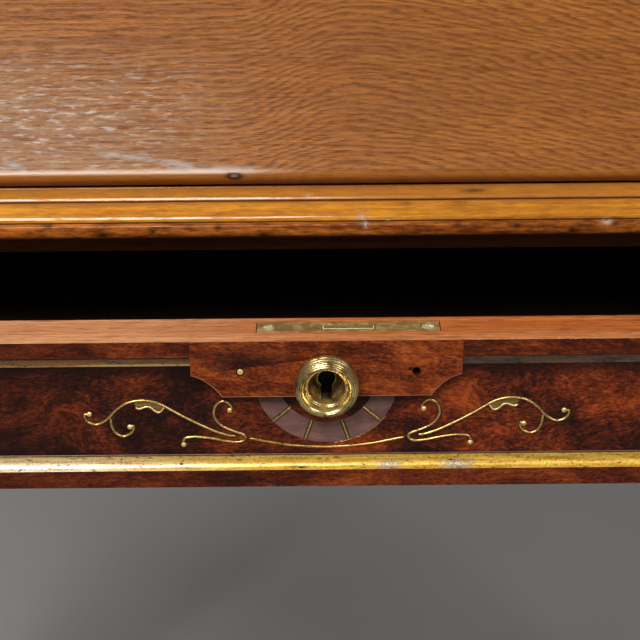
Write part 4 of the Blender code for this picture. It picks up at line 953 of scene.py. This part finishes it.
def noseShell():
    # the section laid on the fall and carried from end to end
    low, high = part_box("fall_board")
    section = np.stack(onFall(*noseSection().T), -1)
    return carried(section, low.x + fallNose["endGap"] * mm, high.x - fallNose["endGap"] * mm, 120)


def shrinkNose(mesh):
    # the copy's own nose drawn in round the pin, under the strip
    points = pointsOf(mesh)
    offset = points[:, 1:] - np.array(fallPin.yz)
    along = offset @ np.array((cosFall, sinFall))
    nose = (along < fallNose["shrinkFrom"] * mm) & (np.hypot(*offset.T) < fallNose["shrinkReach"] * mm)
    points[:, 1:] -= offset * np.where(nose, fallNose["shrink"], 0)[:, None]
    mesh.vertices.foreach_set("co", points.ravel())


shrinkNose(fallPiece.data)
build("fallNose", [noseShell()], fallWood, None, "fall", 40)
easedCopy("drawerBolt", "drawer_lock_bolt", boltBrass, "brass", 0.6, rubbedBrass)
easedCopy("leatherSheet", "fall_leather", writingLeather, "writing_leather", 0.25)
tabletPiece = easedCopy("drawerTablet", "drawer_tablet", tabletWood, "crotch_mahogany", 0.45, tabletEdge)
tabletRim = dict(foot=26.1, corner=15.0, cornerHalf=43.0, bore=10.6, widen=0.27, near=0.1)  # mm


def lowerOutline(mesh):
    # 1 for the front edges along the clipped corners and foot of the tablet, 0 for its sides, top and bores
    low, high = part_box("drawer_tablet")
    x, y, z = pointsOf(mesh).T
    x, drop = x / mm, (high.z - z) / mm
    rim = (drop > tabletRim["foot"]) | ((drop > tabletRim["corner"]) & (np.abs(x) > tabletRim["cornerHalf"]))
    front = y < low.y + tabletRim["near"] * mm
    worn = rim & front & (np.hypot(x, drop - keyDrop) > tabletRim["bore"])
    ends = np.empty(len(mesh.edges) * 2, np.int32)
    mesh.edges.foreach_get("vertices", ends)
    return worn[ends.reshape(-1, 2)].all(axis=1).astype(np.float32)


def widenTablet(mesh):
    # the tablet's sides moved out to close the joint beside it
    points = pointsOf(mesh)
    side = np.abs(points[:, 0]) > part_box("drawer_tablet")[1].x - tabletRim["near"] * mm
    points[:, 0] += np.where(side, np.sign(points[:, 0]) * tabletRim["widen"] * mm, 0)
    mesh.vertices.foreach_set("co", points.ravel())


widenTablet(tabletPiece.data)
weights = tabletPiece.data.attributes.new("bevel_weight_edge", "FLOAT", "EDGE")
weights.data.foreach_set("value", lowerOutline(tabletPiece.data))
tabletPiece.modifiers["easedArrises"].limit_method = "WEIGHT"
print("eased boards built:", len(easedBoards) + 4)

# nodes that keep their own shape
for node, finish in (
    ("drawer_burl_panel", drawerBurl),
    ("drawer_fan_inlay", fanWood),
    ("drawer_guide_left", liningAlongY),
    ("drawer_guide_right", liningAlongY),
    ("fall_pivot_pin_left", knobBrass),
    ("fall_pivot_pin_right", knobBrass),
):
    nodes[node].data.materials.clear()
    nodes[node].data.materials.append(finish)

# moulded top: (inset, height) in mm from the lower edge, and the rounding of each corner
# chips and spots: x, height, size in mm, and how many times each is longer along x
topMoulding = dict(
    lower=((1.4, 0), (0.4, 1.0), (0, 2.6), (0, 5.2), (0.35, 6.2), (1.1, 6.6), (2.3, 6.6), (2.3, 7.25)),
    lowerEase=(0.3, 9, 9, 9, 9, 0.3, 0.15, 0.05),
    upper=((2.3, quirkHeight), (2.3, 7.7), (2.42, 8.5), (3.15, 9.45), (8.3, 14.0), (9.6, 14.0), (9.6, 14.8),
           (9.0, 15.0), (9.05, 15.4), (9.55, 16.0), (9.75, 16.35), (10.6, 20.0), (10.8, 20.75), (11.2, 21.1),
           (11.6, 21.0), (12.3, 20.72), (13.5, 20.6), (18.0, 20.6)),
    upperEase=(0.05, 0.3, 0.35, 0.35, 0.25, 0.1, 0.1, 0.2, 0.2, 0.3, 0.3, 9, 9, 0.3, 0.2, 0.3, 0.5, 3),
    housing=13.4,
    behindLoper=4.0,
    chips=((17.0, 8.3, 1.0, 3.0), (18.6, 5.8, 1.3, 1.0), (28.6, 7.4, 0.6, 1.5), (127.5, 6.0, 1.2, 1.6),
           (-7.0, 16.3, 0.7, 2.0)),
    spots=((-124.6, 6.0, 1.0, 2.0), (-100, 2.2, 1.2, 2.0), (-78, 3.6, 1.7, 1.2), (-48, 5.2, 1.4, 1.4),
           (-27.7, 1.6, 1.2, 2.0), (-131, 12.6, 1.0, 2.0), (-22, 11.2, 0.9, 1.6), (-6.5, 12.6, 0.7, 4.0),
           (42, 3.0, 1.3, 2.0), (60, 5.4, 0.9, 2.0), (87, 5.0, 1.2, 2.0), (112, 2.6, 1.4, 2.0),
           (131, 5.4, 0.9, 2.0), (68, 18.4, 0.8, 7.0), (37, 13.3, 0.5, 6.0), (62, 13.4, 0.5, 9.0)),
    markDepth=25.0,
    stations=500,
)


def mouldedSlab(profile, left, right, front, back, base, mouldLeft, mouldRight, stations=2):
    # rings stacked up the profile: front and, where asked, side edges step in by the inset
    inset, height = profile[:, :1], profile[:, 1:]
    x0 = left + inset * mouldLeft
    x1 = right - inset * mouldRight
    share = np.linspace(0, 1, stations)[None]
    x = np.concatenate((x0 + (x1 - x0) * share, x1, x0), axis=1)
    y = np.concatenate((np.repeat(front + inset, stations, axis=1), np.full((len(profile), 2), back)), axis=1)
    return closedTube(np.stack((x, y, np.repeat(base + height, stations + 2, axis=1)), -1))


def nearness(points, dots):
    # a soft dot round each listed place on the front of the moulding
    x, height, size, longer = (np.array(dots) * (mm, mm, mm, 1)).T
    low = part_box("table_top")[0]
    gap = np.hypot((points[:, None, 0] - x) / longer, points[:, None, 2] - low.z - height)
    near = np.exp(-(gap / size) ** 2).max(axis=1)
    return near * (points[:, 1] < low.y + topMoulding["markDepth"] * mm)


def buildTop():
    # the lower band right across, the upper bands in three lengths beside the lopers, and blocks behind those
    low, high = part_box("table_top")
    front, back, base = low.y, high.y, low.z
    lower = eased(topMoulding["lower"], topMoulding["lowerEase"]) * mm
    upper = eased(topMoulding["upper"], topMoulding["upperEase"]) * mm
    inner = middleOf("loper_right").x - topMoulding["housing"] * mm
    outer = inner + 2 * topMoulding["housing"] * mm
    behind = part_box("loper_right")[1].y + topMoulding["behindLoper"] * mm
    shells = [
        mouldedSlab(lower, low.x, high.x, front, back, base, 1, 1, topMoulding["stations"]),
        mouldedSlab(upper, -inner, inner, front, back, base, 0, 0, topMoulding["stations"]),
        mouldedSlab(upper, outer, high.x, front, back, base, 0, 1),
        mouldedSlab(upper, low.x, -outer, front, back, base, 1, 0),
    ]
    for left, right in ((-outer, -inner), (inner, outer)):
        corners = (left, behind, base + quirkHeight * mm), (right, back, high.z)
        shells.append(roundedBoard(*corners, 0.05 * mm, 1))
    finishes = mouldingAlongX, (mouldingAlongY,)
    piece = build("tableTop", shells, finishes[0], "table_top", second=finishes[1])
    normals = np.empty(len(piece.data.polygons) * 3)
    piece.data.polygons.foreach_get("normal", normals)
    normals = np.abs(normals.reshape(-1, 3))
    onSide = (normals[:, 0] > normals[:, 1] + 0.01) & (normals[:, 0] > 0.1)
    piece.data.polygons.foreach_set("material_index", onSide.astype(np.int32))
    points = pointsOf(piece.data)
    mark(piece, "chip", nearness(points, topMoulding["chips"]))
    mark(piece, "spot", nearness(points, topMoulding["spots"]))
    for word in ("left", "right"):
        low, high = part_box("loper_" + word)
        points, faces = mouldedSlab(upper, low.x, high.x, front, high.y, base, 0, 0)
        points[:, 2] = np.clip(points[:, 2], low.z, high.z)
        build("loper" + word.title(), [(points, faces)], mouldingAlongX, "loper_" + word)


buildTop()
print("moulded top and lopers built")

# turned work: radius and height in mm
turnedWork = dict(
    legBlock=46.0,
    footBlock=40.0,
    blockSplit=350.0,
    cornerPower=14.0,
    leg=((0, 700), (40, 700), (40, 592), (33, 583), (20.0, 577), (19.0, 576), (22.2, 571), (22.2, 566),
         (17.0, 561), (17.0, 555), (20.8, 550), (20.8, 545), (16.0, 540), (18.5, 528), (22.5, 514), (23.5, 496),
         (22.5, 476), (14.5, 216), (18.5, 210), (18.5, 202), (14.5, 196), (17.0, 183), (19.0, 175), (30, 167),
         (36, 160), (36, 142), (30, 135), (19.0, 127), (16.5, 122), (20.5, 116), (20.5, 109), (15.0, 103),
         (16.5, 90), (22.0, 74), (23.5, 55), (20.5, 36), (15.0, 18), (13.0, 0), (0, 0)),
    letterKnob=((0, 15.0), (4.0, 14.2), (6.4, 11.6), (6.0, 8.6), (2.8, 5.8), (2.6, 4.0), (2.6, -7), (0, -7)),
    loperKnob=((0, 12.0), (3.0, 11.4), (4.6, 9.2), (4.2, 6.8), (2.2, 4.6), (2.0, 3.0), (2.0, -9.5), (0, -9.5)),
    cross=((0, 315.7), (8.5, 315.7), (8.5, 303.7), (12, 297.7), (12, 289.7), (8.5, 283.7), (10.5, 70),
           (13.5, 62), (9.5, 54), (14, 22)),
)


def squaredLeg(profile, steps=96):
    # the square blank cut by the turning: at each angle the smaller of the square's and the lathe's radius
    angle = (np.arange(steps) + 0.5) * 2 * math.pi / steps
    radius, height = profile[:, :1], profile[:, 1:]
    upper = height > turnedWork["blockSplit"] * mm
    blank = np.where(upper, turnedWork["legBlock"] / 2 * mm, turnedWork["footBlock"] / 2 * mm)
    power = turnedWork["cornerPower"]
    square = blank / (np.abs(np.cos(angle)) ** power + np.abs(np.sin(angle)) ** power) ** (1 / power)
    reach = np.minimum(square, radius)
    tall = np.repeat(height, steps, axis=1)
    return closedTube(np.stack((reach * np.cos(angle), reach * np.sin(angle), tall), -1))


legPoints, legFaces = squaredLeg(refine(eased(turnedWork["leg"], 5.0, 5), 3.0) * mm)
for node in ("leg_front_left", "leg_front_right", "leg_rear_left", "leg_rear_right"):
    cut = np.minimum(legPoints, np.array((1, 1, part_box(node)[1].z)))  # sawn off at the node's top
    middle = middleOf(node)
    pieceName = "leg" + "".join(word.title() for word in node.split("_")[1:])
    shell = (cut + np.array((middle.x, middle.y, 0)), legFaces)
    build(pieceName, [shell], standUpright, node, sharp=40)

half = np.array(turnedWork["cross"])
cross = np.concatenate((half, (half * (1, -1))[::-1]))
crossAt = middleOf("stretcher_cross")
crossShell = moved(lathe(eased(cross, 4.0, 5) * mm, 48), faceRight, (0, crossAt.y, crossAt.z))
build("stretcherCross", [crossShell], standAlongX, "stretcher_cross", sharp=50)
for kind, nodeStart in (("letterKnob", "letter_drawer_knob_"), ("loperKnob", "loper_knob_")):
    knob = lathe(eased(turnedWork[kind], 1.6, 6) * mm, 40)
    for word in ("left", "right"):
        node = nodeStart + word
        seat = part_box(node)[0].y + turnedWork[kind][0][1] * mm
        shell = moved(knob, faceFront, (middleOf(node).x, seat, middleOf(node).z))
        build(kind + word.title(), [shell], knobBrass, node, sharp=50)
print("turned work built")

# drawer ornament
gildedCoves = dict(curve=16, stations=60, gap=0.35, fillet=0.55, filletRise=0.7, filletSink=0.02, filletRound=0.2)


def coveShell(node, upper):
    # a quarter hollow carried along x, closed by its back and its seat
    low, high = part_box(node)
    t = np.linspace(0, math.pi / 2, gildedCoves["curve"])
    y = low.y + (high.y - low.y) * np.sin(t)
    z = low.z + (high.z - low.z) * (1 - np.cos(t))
    section = np.concatenate((np.stack((y, z), -1), ((high.y, low.z),)))
    if upper:
        section[:, 1] = low.z + high.z - section[:, 1]
    return carried(section, low.x, high.x, gildedCoves["stations"])


for node, pieceName, finish, upper in (
    ("drawer_gilt_cove_upper_left", "coveUpperLeft", dullGilt, True),
    ("drawer_gilt_cove_upper_right", "coveUpperRight", darkGilt, True),
    ("drawer_gilt_cove_lower", "coveLower", coveGilt, False),
):
    build(pieceName, [coveShell(node, upper)], finish, node, sharp=50)

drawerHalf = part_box("drawer_front")[1].x
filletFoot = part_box("drawer_gilt_cove_lower")[1].z + gildedCoves["gap"] * mm
filletLow = (-drawerHalf, fieldFace - gildedCoves["filletRise"] * mm, filletFoot)
filletHigh = (drawerHalf, fieldFace - gildedCoves["filletSink"] * mm, filletFoot + gildedCoves["fillet"] * mm)
fillet = roundedBoard(filletLow, filletHigh, gildedCoves["filletRound"] * mm)
build("coveFillet", [fillet], filletWood, None, "drawer")

# inlay on the drawer face: paths of (x, drop below the top edge), and pairs of width and rise, in mm
scrollWork = dict(
    sink=0.25,
    line=(1.0, 0.6),
    joint=(1.7, 0.05),
    vein=(0.8, 0.4),
    dot=(1.15, 0.9),
    leafRise=0.14,
    arch=((-101.1, 35.8), (-103.2, 36.1), (-102.2, 39.2), (-98.5, 40.8), (-94.9, 39.3), (-92.4, 37.0),
          (-90.1, 34.4), (-85.8, 31.1), (-81.7, 29.7), (-77.2, 29.4), (-72.7, 30.4), (-68.8, 32.4),
          (-62.0, 36.8), (-55.1, 40.8), (-48.2, 44.4), (-42.2, 46.6), (-39.2, 47.0)),
    curl=((-92.2, 37.6), (-91.8, 41.9), (-90.2, 45.1), (-87.3, 46.6), (-84.1, 45.3), (-82.7, 43.1),
          (-82.9, 41.6), (-84.0, 42.0)),
    hook=((-41.3, 34.5), (-40.3, 33.3), (-41.7, 31.0), (-44.2, 30.1), (-47.0, 32.0), (-48.1, 35.5),
          (-47.3, 38.9), (-44.6, 42.1), (-40.1, 44.5), (-36.2, 46.0), (-34.9, 47.4), (-35.7, 49.1),
          (-38.3, 49.9), (-43.4, 49.3), (-48.4, 48.2), (-53.4, 47.4), (-57.4, 47.2), (-60.5, 47.7),
          (-61.6, 49.1), (-61.6, 51.0)),
    dots=((-101.1, 35.8), (-84.2, 42.1), (-41.3, 34.5), (-61.6, 51.0)),
    leafUpper=((-81.6, 29.8), (-79.4, 29.5), (-77.2, 29.4), (-74.9, 29.8), (-72.7, 30.4), (-70.6, 31.4),
               (-69.0, 32.4)),
    leafLower=((-81.2, 32.9), (-79.6, 33.5), (-76.8, 32.5), (-74.9, 32.9), (-72.5, 35.0), (-70.7, 34.9),
               (-69.0, 32.8)),
)


def onDrawerFace(flat, lift):
    # a tube of (x, drop) rings set on the field, each point lifted out of it
    points = np.stack(np.broadcast_arrays(flat[..., 0], -lift, -flat[..., 1]), -1)
    return closedTube(points * mm + (0, fieldFace, drawerTop))


def inlaid(path, width, rise):
    # a low dome carried along a path, rounded off at both ends
    run = runAlong(path)
    tip = np.clip(np.minimum(run, run[-1] - run) / (width / 2), 0, 1)
    half = width / 2 * np.sqrt(np.clip(1 - (1 - tip) ** 2, 0.02, 1))
    across = np.array((-1, -0.86, -0.5, 0, 0.5, 0.86, 1, 1, -1))
    lift = np.array((0, 0.5, 0.87, 1, 0.87, 0.5, 0, 0, 0)) * rise
    lift[-2:] = -scrollWork["sink"]
    flat = path[:, None] + sideways(path)[:, None] * (half[:, None] * across[None])[..., None]
    return onDrawerFace(flat, lift)


def inlaidDot(x, drop, radius, rise):
    # a shallow dome
    t = np.linspace(0, math.pi / 2, 7)
    dome = np.stack((radius * np.sin(t), rise * np.cos(t)), -1)
    profile = np.concatenate((dome, ((radius, -scrollWork["sink"]), (0, -scrollWork["sink"]))))
    return moved(lathe(profile * mm, 20), faceFront, (x * mm, fieldFace, drawerTop - drop * mm))


def leafShell(upper, lower, count=6):
    # a sheet crowned between two edges, and back again below the field so that it closes
    share = np.linspace(0, 1, count)
    flat = upper[:, None] + (lower - upper)[:, None] * share[:, None]
    crown = np.sin(share * math.pi) * scrollWork["leafRise"]
    lift = np.concatenate((crown, np.full(count, -scrollWork["sink"])))
    return onDrawerFace(np.concatenate((flat, flat[:, ::-1]), axis=1), lift)


def buildScrolls(word, mirror):
    # one side's lines with a dark joint round them, their end dots and the veined leaf on the arch
    keys = ("arch", "curl", "hook", "leafUpper", "leafLower")
    arch, curl, hook, upper, lower = (smoothPath(np.array(scrollWork[key]) * (mirror, 1)) for key in keys)
    lines = [inlaid(path, *scrollWork["line"]) for path in (arch, curl, hook)]
    build("scroll" + word, lines, lineGilt, None, "drawer", 60)
    dots = np.array(scrollWork["dots"]) * (mirror, 1)
    domes = [inlaidDot(x, drop, *scrollWork["dot"]) for x, drop in dots]
    build("scrollDots" + word, domes + [inlaid(lower, *scrollWork["vein"])], dotGilt, None, "drawer", 60)
    joints = [inlaid(path, *scrollWork["joint"]) for path in (arch, curl, hook)]
    build("scrollEdges" + word, joints, darkLine, None, "drawer", 60)
    build("leaf" + word, [leafShell(upper, lower)], leafGilt, None, "drawer", 60)


buildScrolls("Left", 1)
buildScrolls("Right", -1)
# the fan's spokes and rim: angles in degrees round the keyhole
fanWork = dict(
    spokes=(139, 108, 72, 41), inner=20.3, outer=30.7, spoke=(1.0, 0.3), joint=(1.9, 0.06),
    rimAngles=(35, 84), rimRadius=30.8, rim=(0.35, 0.1),
    arc=((-33.2, 48.2), (-17, 51.5), (0, 52.7), (17, 51.5), (33.2, 48.2)), arcLine=(1.0, 0.4),
)


def fromKeyhole(degrees, reach):
    # (x, drop) at an angle and a distance from the keyhole
    angle = np.radians(degrees)
    return np.stack((np.cos(angle) * reach, keyDrop + np.sin(angle) * reach), -1)


reach = np.linspace(fanWork["inner"], fanWork["outer"], 12)
spokes = [fromKeyhole(degrees, reach) for degrees in fanWork["spokes"]]
rim = fromKeyhole(np.linspace(*fanWork["rimAngles"], 40), fanWork["rimRadius"])
fanLines = [inlaid(spoke, *fanWork["spoke"]) for spoke in spokes]
fanLines.append(inlaid(rim, *fanWork["rim"]))
fanLines.append(inlaid(smoothPath(fanWork["arc"], 16), *fanWork["arcLine"]))
build("fanLines", fanLines, lineGilt, None, "drawer", 60)
fanJoints = [inlaid(spoke, *fanWork["joint"]) for spoke in spokes]
build("fanLineEdges", fanJoints, darkLine, None, "drawer", 60)
print("drawer ornament built")

# ring escutcheons: (radius, height) in mm from the foot of the ring to the mouth of its well
ringWork = dict(
    profile=((13.6, 0), (13.6, 1.0), (13.3, 1.4), (13.4, 1.9), (13.6, 2.9), (13.5, 4.3), (13.0, 5.8),
             (12.1, 6.9), (11.1, 7.3), (10.2, 6.9), (9.5, 5.9), (9.0, 4.6), (8.7, 3.9), (8.1, 3.8), (7.8, 3.1),
             (7.1, 0.8)),
    ease=(0, 0.3, 0.2, 0.3, 9, 9, 9, 9, 9, 9, 9, 0.4, 0.2, 0.3, 0.4, 0),
    rollMiddle=(11.4, 4.4),
    rollInside=10.3,
    rollFoot=2.4,
    throat=4.5,
    cup=10.4,
    wall=0.6,
    headRadius=3.7,
    slotHalf=2.3,
    slotDrop=6.9,
    toolMark=0.17,
    toolPitch=1.1,
    seat=8.3,  # from the front of the CAD ring to the drawer's tablet
)
# dirt on the ring and its darker lower side: strength of each kind, and where it lies in mm
ringDarkening = dict(
    lines=0.8, foot=0.8, footHeight=1.5, footWidth=0.6, footFrom=12.5,
    well=0.4, wellTop=1.0, wellDeep=6.0, wellWithin=9.5,
    under=0.8, underReach=13.0, underFrom=11.8, underBelow=7.8,
)


def onRoll(radius, height):
    return (radius > ringWork["rollInside"]) & (height > ringWork["rollFoot"])


def grooveProfile():
    # the ring's outline with shallow turned grooves, and how deep in a groove each of its points is
    profile = refine(eased(ringWork["profile"], ringWork["ease"]), 0.12)
    groove = np.maximum(np.sin(runAlong(profile) * 2 * math.pi / ringWork["toolPitch"]), 0)
    groove *= onRoll(*profile.T)
    return profile + sideways(profile) * (ringWork["toolMark"] * groove)[:, None], groove


def keyedRing(depth):
    # the profile carried round, with each radius held outside the keyhole's edge at that angle
    half, drop, head = ringWork["slotHalf"], ringWork["slotDrop"], ringWork["headRadius"]
    foot = math.asin(half / head)
    exact = np.array((foot, -foot, math.atan2(half, drop), -math.atan2(half, drop)))
    angle = np.unique(np.round(np.concatenate((np.linspace(-math.pi, math.pi, 145)[:-1], exact)), 6))
    slot = np.minimum(half / np.maximum(np.abs(np.sin(angle)), 1e-6), drop / np.cos(angle))
    hole = np.where(np.abs(angle) < foot, slot, head)
    throat = ringWork["throat"]
    well = refine(np.array(((throat, 0.5 - depth), (throat - 0.4, -depth), (0, -depth))), 0.3)
    profile = refine(np.concatenate((grooveProfile()[0], well)), 0.3)
    funnel = profile[profile[:, 1].argmax():][::-1]
    radius = np.maximum(profile[:, :1], hole[None])
    held = radius > profile[:, :1] + 1e-9
    height = np.where(held, np.interp(radius, funnel[:, 0], funnel[:, 1]), profile[:, 1:])
    under = -depth - ringWork["wall"]
    cup = np.full_like(hole, ringWork["cup"])
    radius = np.concatenate((radius, (hole, cup, cup)))
    height = np.concatenate((height, [np.full_like(hole, level) for level in (under, under, 0)]))
    points = np.stack((radius * np.sin(angle), -radius * np.cos(angle), height), -1) * mm
    return points.reshape(-1, 3), gridQuads(*points.shape[:2], wrapRows=True)


def ringCavity(points, origin, turn):
    # dirt gathers in the turned lines, in the quirk over the foot and down the well, and the ring is darker
    # towards its lower side
    profile, groove = grooveProfile()
    across, out = ringWork["rollMiddle"]
    outer = onRoll(*profile.T)
    turns = np.arctan2(profile[outer, 1] - out, profile[outer, 0] - across)
    x, up, height = ((points - np.array(origin)) @ np.linalg.inv(np.array(turn)).T / mm).T
    radius = np.hypot(x, up)
    lines = np.interp(np.arctan2(height - out, radius - across), turns, groove[outer])
    lines *= onRoll(radius, height) * ringDarkening["lines"]
    foot = np.exp(-((height - ringDarkening["footHeight"]) / ringDarkening["footWidth"]) ** 2)
    foot *= (radius > ringDarkening["footFrom"]) * ringDarkening["foot"]
    well = np.clip((ringDarkening["wellTop"] - height) / ringDarkening["wellDeep"], 0, 1)
    well *= (radius < ringDarkening["wellWithin"]) * ringDarkening["well"]
    under = np.clip(-up / ringDarkening["underReach"], 0, 1) ** 2
    under *= (radius > ringDarkening["underFrom"]) * (height < ringDarkening["underBelow"]) * ringDarkening["under"]
    return np.clip(foot + well + under + lines, 0, 1)


# the fall's keyhole, in mm up the fall, and out of it to the face and to the lock
fallKey = dict(along=286.0, face=6.3, lock=0.35)
drawerRing = (0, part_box("drawer_escutcheon")[0].y + ringWork["seat"] * mm, drawerTop - keyDrop * mm)
fallRing = (0, *onFall(fallKey["along"], fallKey["face"]))
for pieceName, node, depth, turn, origin in (
    ("drawerEscutcheon", "drawer_escutcheon", 5.3, faceFront, drawerRing),
    ("fallEscutcheon", "fall_escutcheon", 3.4, faceFall, fallRing),
):
    piece = build(pieceName, [moved(keyedRing(depth), turn, origin)], ringBrass, node)
    mark(piece, "cavity", ringCavity(pointsOf(piece.data), origin, turn))

# painted shade: near-black discs on the locks' faces, seen at the back of the rings, so that the keyholes look
# dark
keyholeShadeDisc = dict(radius=9.0, thick=0.2, gap=0.05)
discProfile = np.array(((0, 1), (1, 1), (1, 0), (0, 0)))
disc = lathe(discProfile * (keyholeShadeDisc["radius"] * mm, keyholeShadeDisc["thick"] * mm), 32)
lockFace = (0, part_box("drawer_lock")[0].y - keyholeShadeDisc["gap"] * mm, drawerTop - keyDrop * mm)
build("drawerKeyDark", [moved(disc, faceFront, lockFace)], keyDark, None, "drawer")
fallLockFace = (0, *onFall(fallKey["along"], fallKey["lock"]))
build("fallKeyholeShade", [moved(disc, faceFall, fallLockFace)], keyDark, None, "fall")

# screws and pin, in mm
screwWork = dict(
    radius=2.75, crown=0.25, sink=0.2, slot=0.38, slotSoft=0.08, slotDepth=0.45, dirtFrom=0.28, dirtDeep=0.2,
    shank=((2.75, -1.2), (1.2, -2.4), (1.2, -9.0), (0, -11.0)),
)


def slottedScrew(turn):
    # a low dome on a polar grid, sunk along a slot, then the neck and the shank
    angle = np.linspace(0, 2 * math.pi, 48, endpoint=False)
    radius = np.linspace(0, screwWork["radius"], 24)[:, None]
    x, y = radius * np.cos(angle), radius * np.sin(angle)
    across = np.abs(x * math.sin(turn) - y * math.cos(turn))
    crown = screwWork["crown"] * (1 - (radius / screwWork["radius"]) ** 2)
    inSlot = np.clip((screwWork["slot"] + screwWork["slotSoft"] - across) / (2 * screwWork["slotSoft"]), 0, 1)
    head = np.stack((x, y, crown - inSlot * screwWork["slotDepth"] - screwWork["sink"]), -1)
    shank = np.array(screwWork["shank"])[:, (0, 0, 1)]
    ring = np.stack((np.cos(angle), np.sin(angle), np.ones_like(angle)), -1)
    return closedTube(np.concatenate((head, ring[None] * shank[:, None])) * mm)


for word, turn in (("left", 0.5), ("right", -0.35)):
    node = "drawer_lock_screw_" + word
    seat = (middleOf(node).x, middleOf(node).y, drawerTop)
    piece = build("lockScrew" + word.title(), [moved(slottedScrew(turn), noTurn, seat)], screwBrass, node)
    drop = drawerTop - pointsOf(piece.data)[:, 2]
    mark(piece, "cavity", np.clip((drop / mm - screwWork["dirtFrom"]) / screwWork["dirtDeep"], 0, 1))

tabletPin = dict(radius=1.3, rise=0.5, sink=0.1, depth=2.6)
t = np.linspace(0, math.pi / 2, 8)
dome = np.stack((tabletPin["radius"] * np.sin(t), tabletPin["rise"] * np.cos(t) - tabletPin["sink"]), -1)
pinProfile = np.concatenate((dome, ((tabletPin["radius"], -tabletPin["depth"]), (0, -tabletPin["depth"]))))
pinSeat = (pinMiddle.x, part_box("drawer_tablet")[0].y, pinMiddle.z)
pinShell = moved(lathe(pinProfile * mm, 28), faceFront, pinSeat)
build("tabletPin", [pinShell], pinBrass, "tablet_pin", sharp=60)
print("escutcheons, screws and pin built")

# gold tooled border on the writing leather, in mm across the fall, up it and out of it from the pin
leatherTooling = dict(
    margins=(11.0, 14.5), width=0.9, half=270.0, near=30.0, far=255.0, under=-5.78, over=-5.5, rounding=0.1,
)


def toolingShells():
    # two frames of thin bars, each frame a margin inside the leather's edge
    shells = []
    half, under, over = leatherTooling["width"] / 2, leatherTooling["under"], leatherTooling["over"]
    for margin in leatherTooling["margins"]:
        side = leatherTooling["half"] - margin
        near, far = leatherTooling["near"] + margin, leatherTooling["far"] - margin
        bars = [((-side, up - half, under), (side, up + half, over)) for up in (near, far)]
        bars += [((x - half, near, under), (x + half, far, over)) for x in (-side, side)]
        for bar in bars:
            shell = roundedBoard(*(np.array(bar) * mm), leatherTooling["rounding"] * mm, 1)
            shells.append(moved(shell, faceFall, (0, fallPin.y, fallPin.z)))
    return shells


build("leatherTooling", toolingShells(), brightGilt, None, "fall")

# floor, light and camera
floorHalf = 30.0
floorCorners = [(x * floorHalf, y * floorHalf, 0) for x, y in ((-1, -1), (1, -1), (1, 1), (-1, 1))]
floorMesh = bpy.data.meshes.new("floor")
floorMesh.from_pydata(floorCorners, [], [(0, 1, 2, 3)])
floorMesh.materials.append(makeSpeckled("paleFloor", 2, (150, 147, 143), (162, 159, 155), 0.7))
floor = bpy.data.objects.new("floor", floorMesh)
scene.collection.objects.link(floor)

world = bpy.data.worlds.new("studio")
scene.world = world
world.use_nodes = True
setInputs(world.node_tree.nodes["Background"], {"Color": (0.95, 0.97, 1.0, 1.0), "Strength": 0.12})


def softLamp(name, at, aim, size, energy):
    lamp = bpy.data.lights.new(name, "AREA")
    lamp.shape = "RECTANGLE"
    lamp.size, lamp.size_y = size
    lamp.energy = energy
    item = bpy.data.objects.new(name, lamp)
    item.location = at
    item.rotation_euler = (Vector(aim) - Vector(at)).to_track_quat("-Z", "Y").to_euler()
    scene.collection.objects.link(item)


softLamp("keyLamp", (-0.78, -1.52, 2.60), (-0.05, -0.2, 0.70), (1.5, 1.0), 70)
softLamp("fillLamp", (1.9, -1.5, 2.7), (0, 0, 0.6), (1.4, 1.4), 34)
softLamp("backLamp", (0.6, 2.2, 2.2), (0, 0, 0.6), (1.8, 1.2), 12)

photoCamera = dict(at=(-0.0025, -0.8214, 0.95126), pitch=65.0, roll=-0.52, lens=83.87, sensor=36, clip=(0.01, 50))
camera = bpy.data.cameras.new("photoCamera")
camera.lens = photoCamera["lens"]
camera.sensor_width = photoCamera["sensor"]
camera.clip_start, camera.clip_end = photoCamera["clip"]
eye = bpy.data.objects.new("photoCamera", camera)
eye.location = photoCamera["at"]
turn = Matrix.Rotation(math.radians(photoCamera["pitch"]), 4, "X")
turn = turn @ Matrix.Rotation(math.radians(photoCamera["roll"]), 4, "Z")
eye.rotation_euler = turn.to_euler()
scene.collection.objects.link(eye)
scene.camera = eye
scene.view_settings.view_transform = "Standard"
print("floor, lamps and camera set")
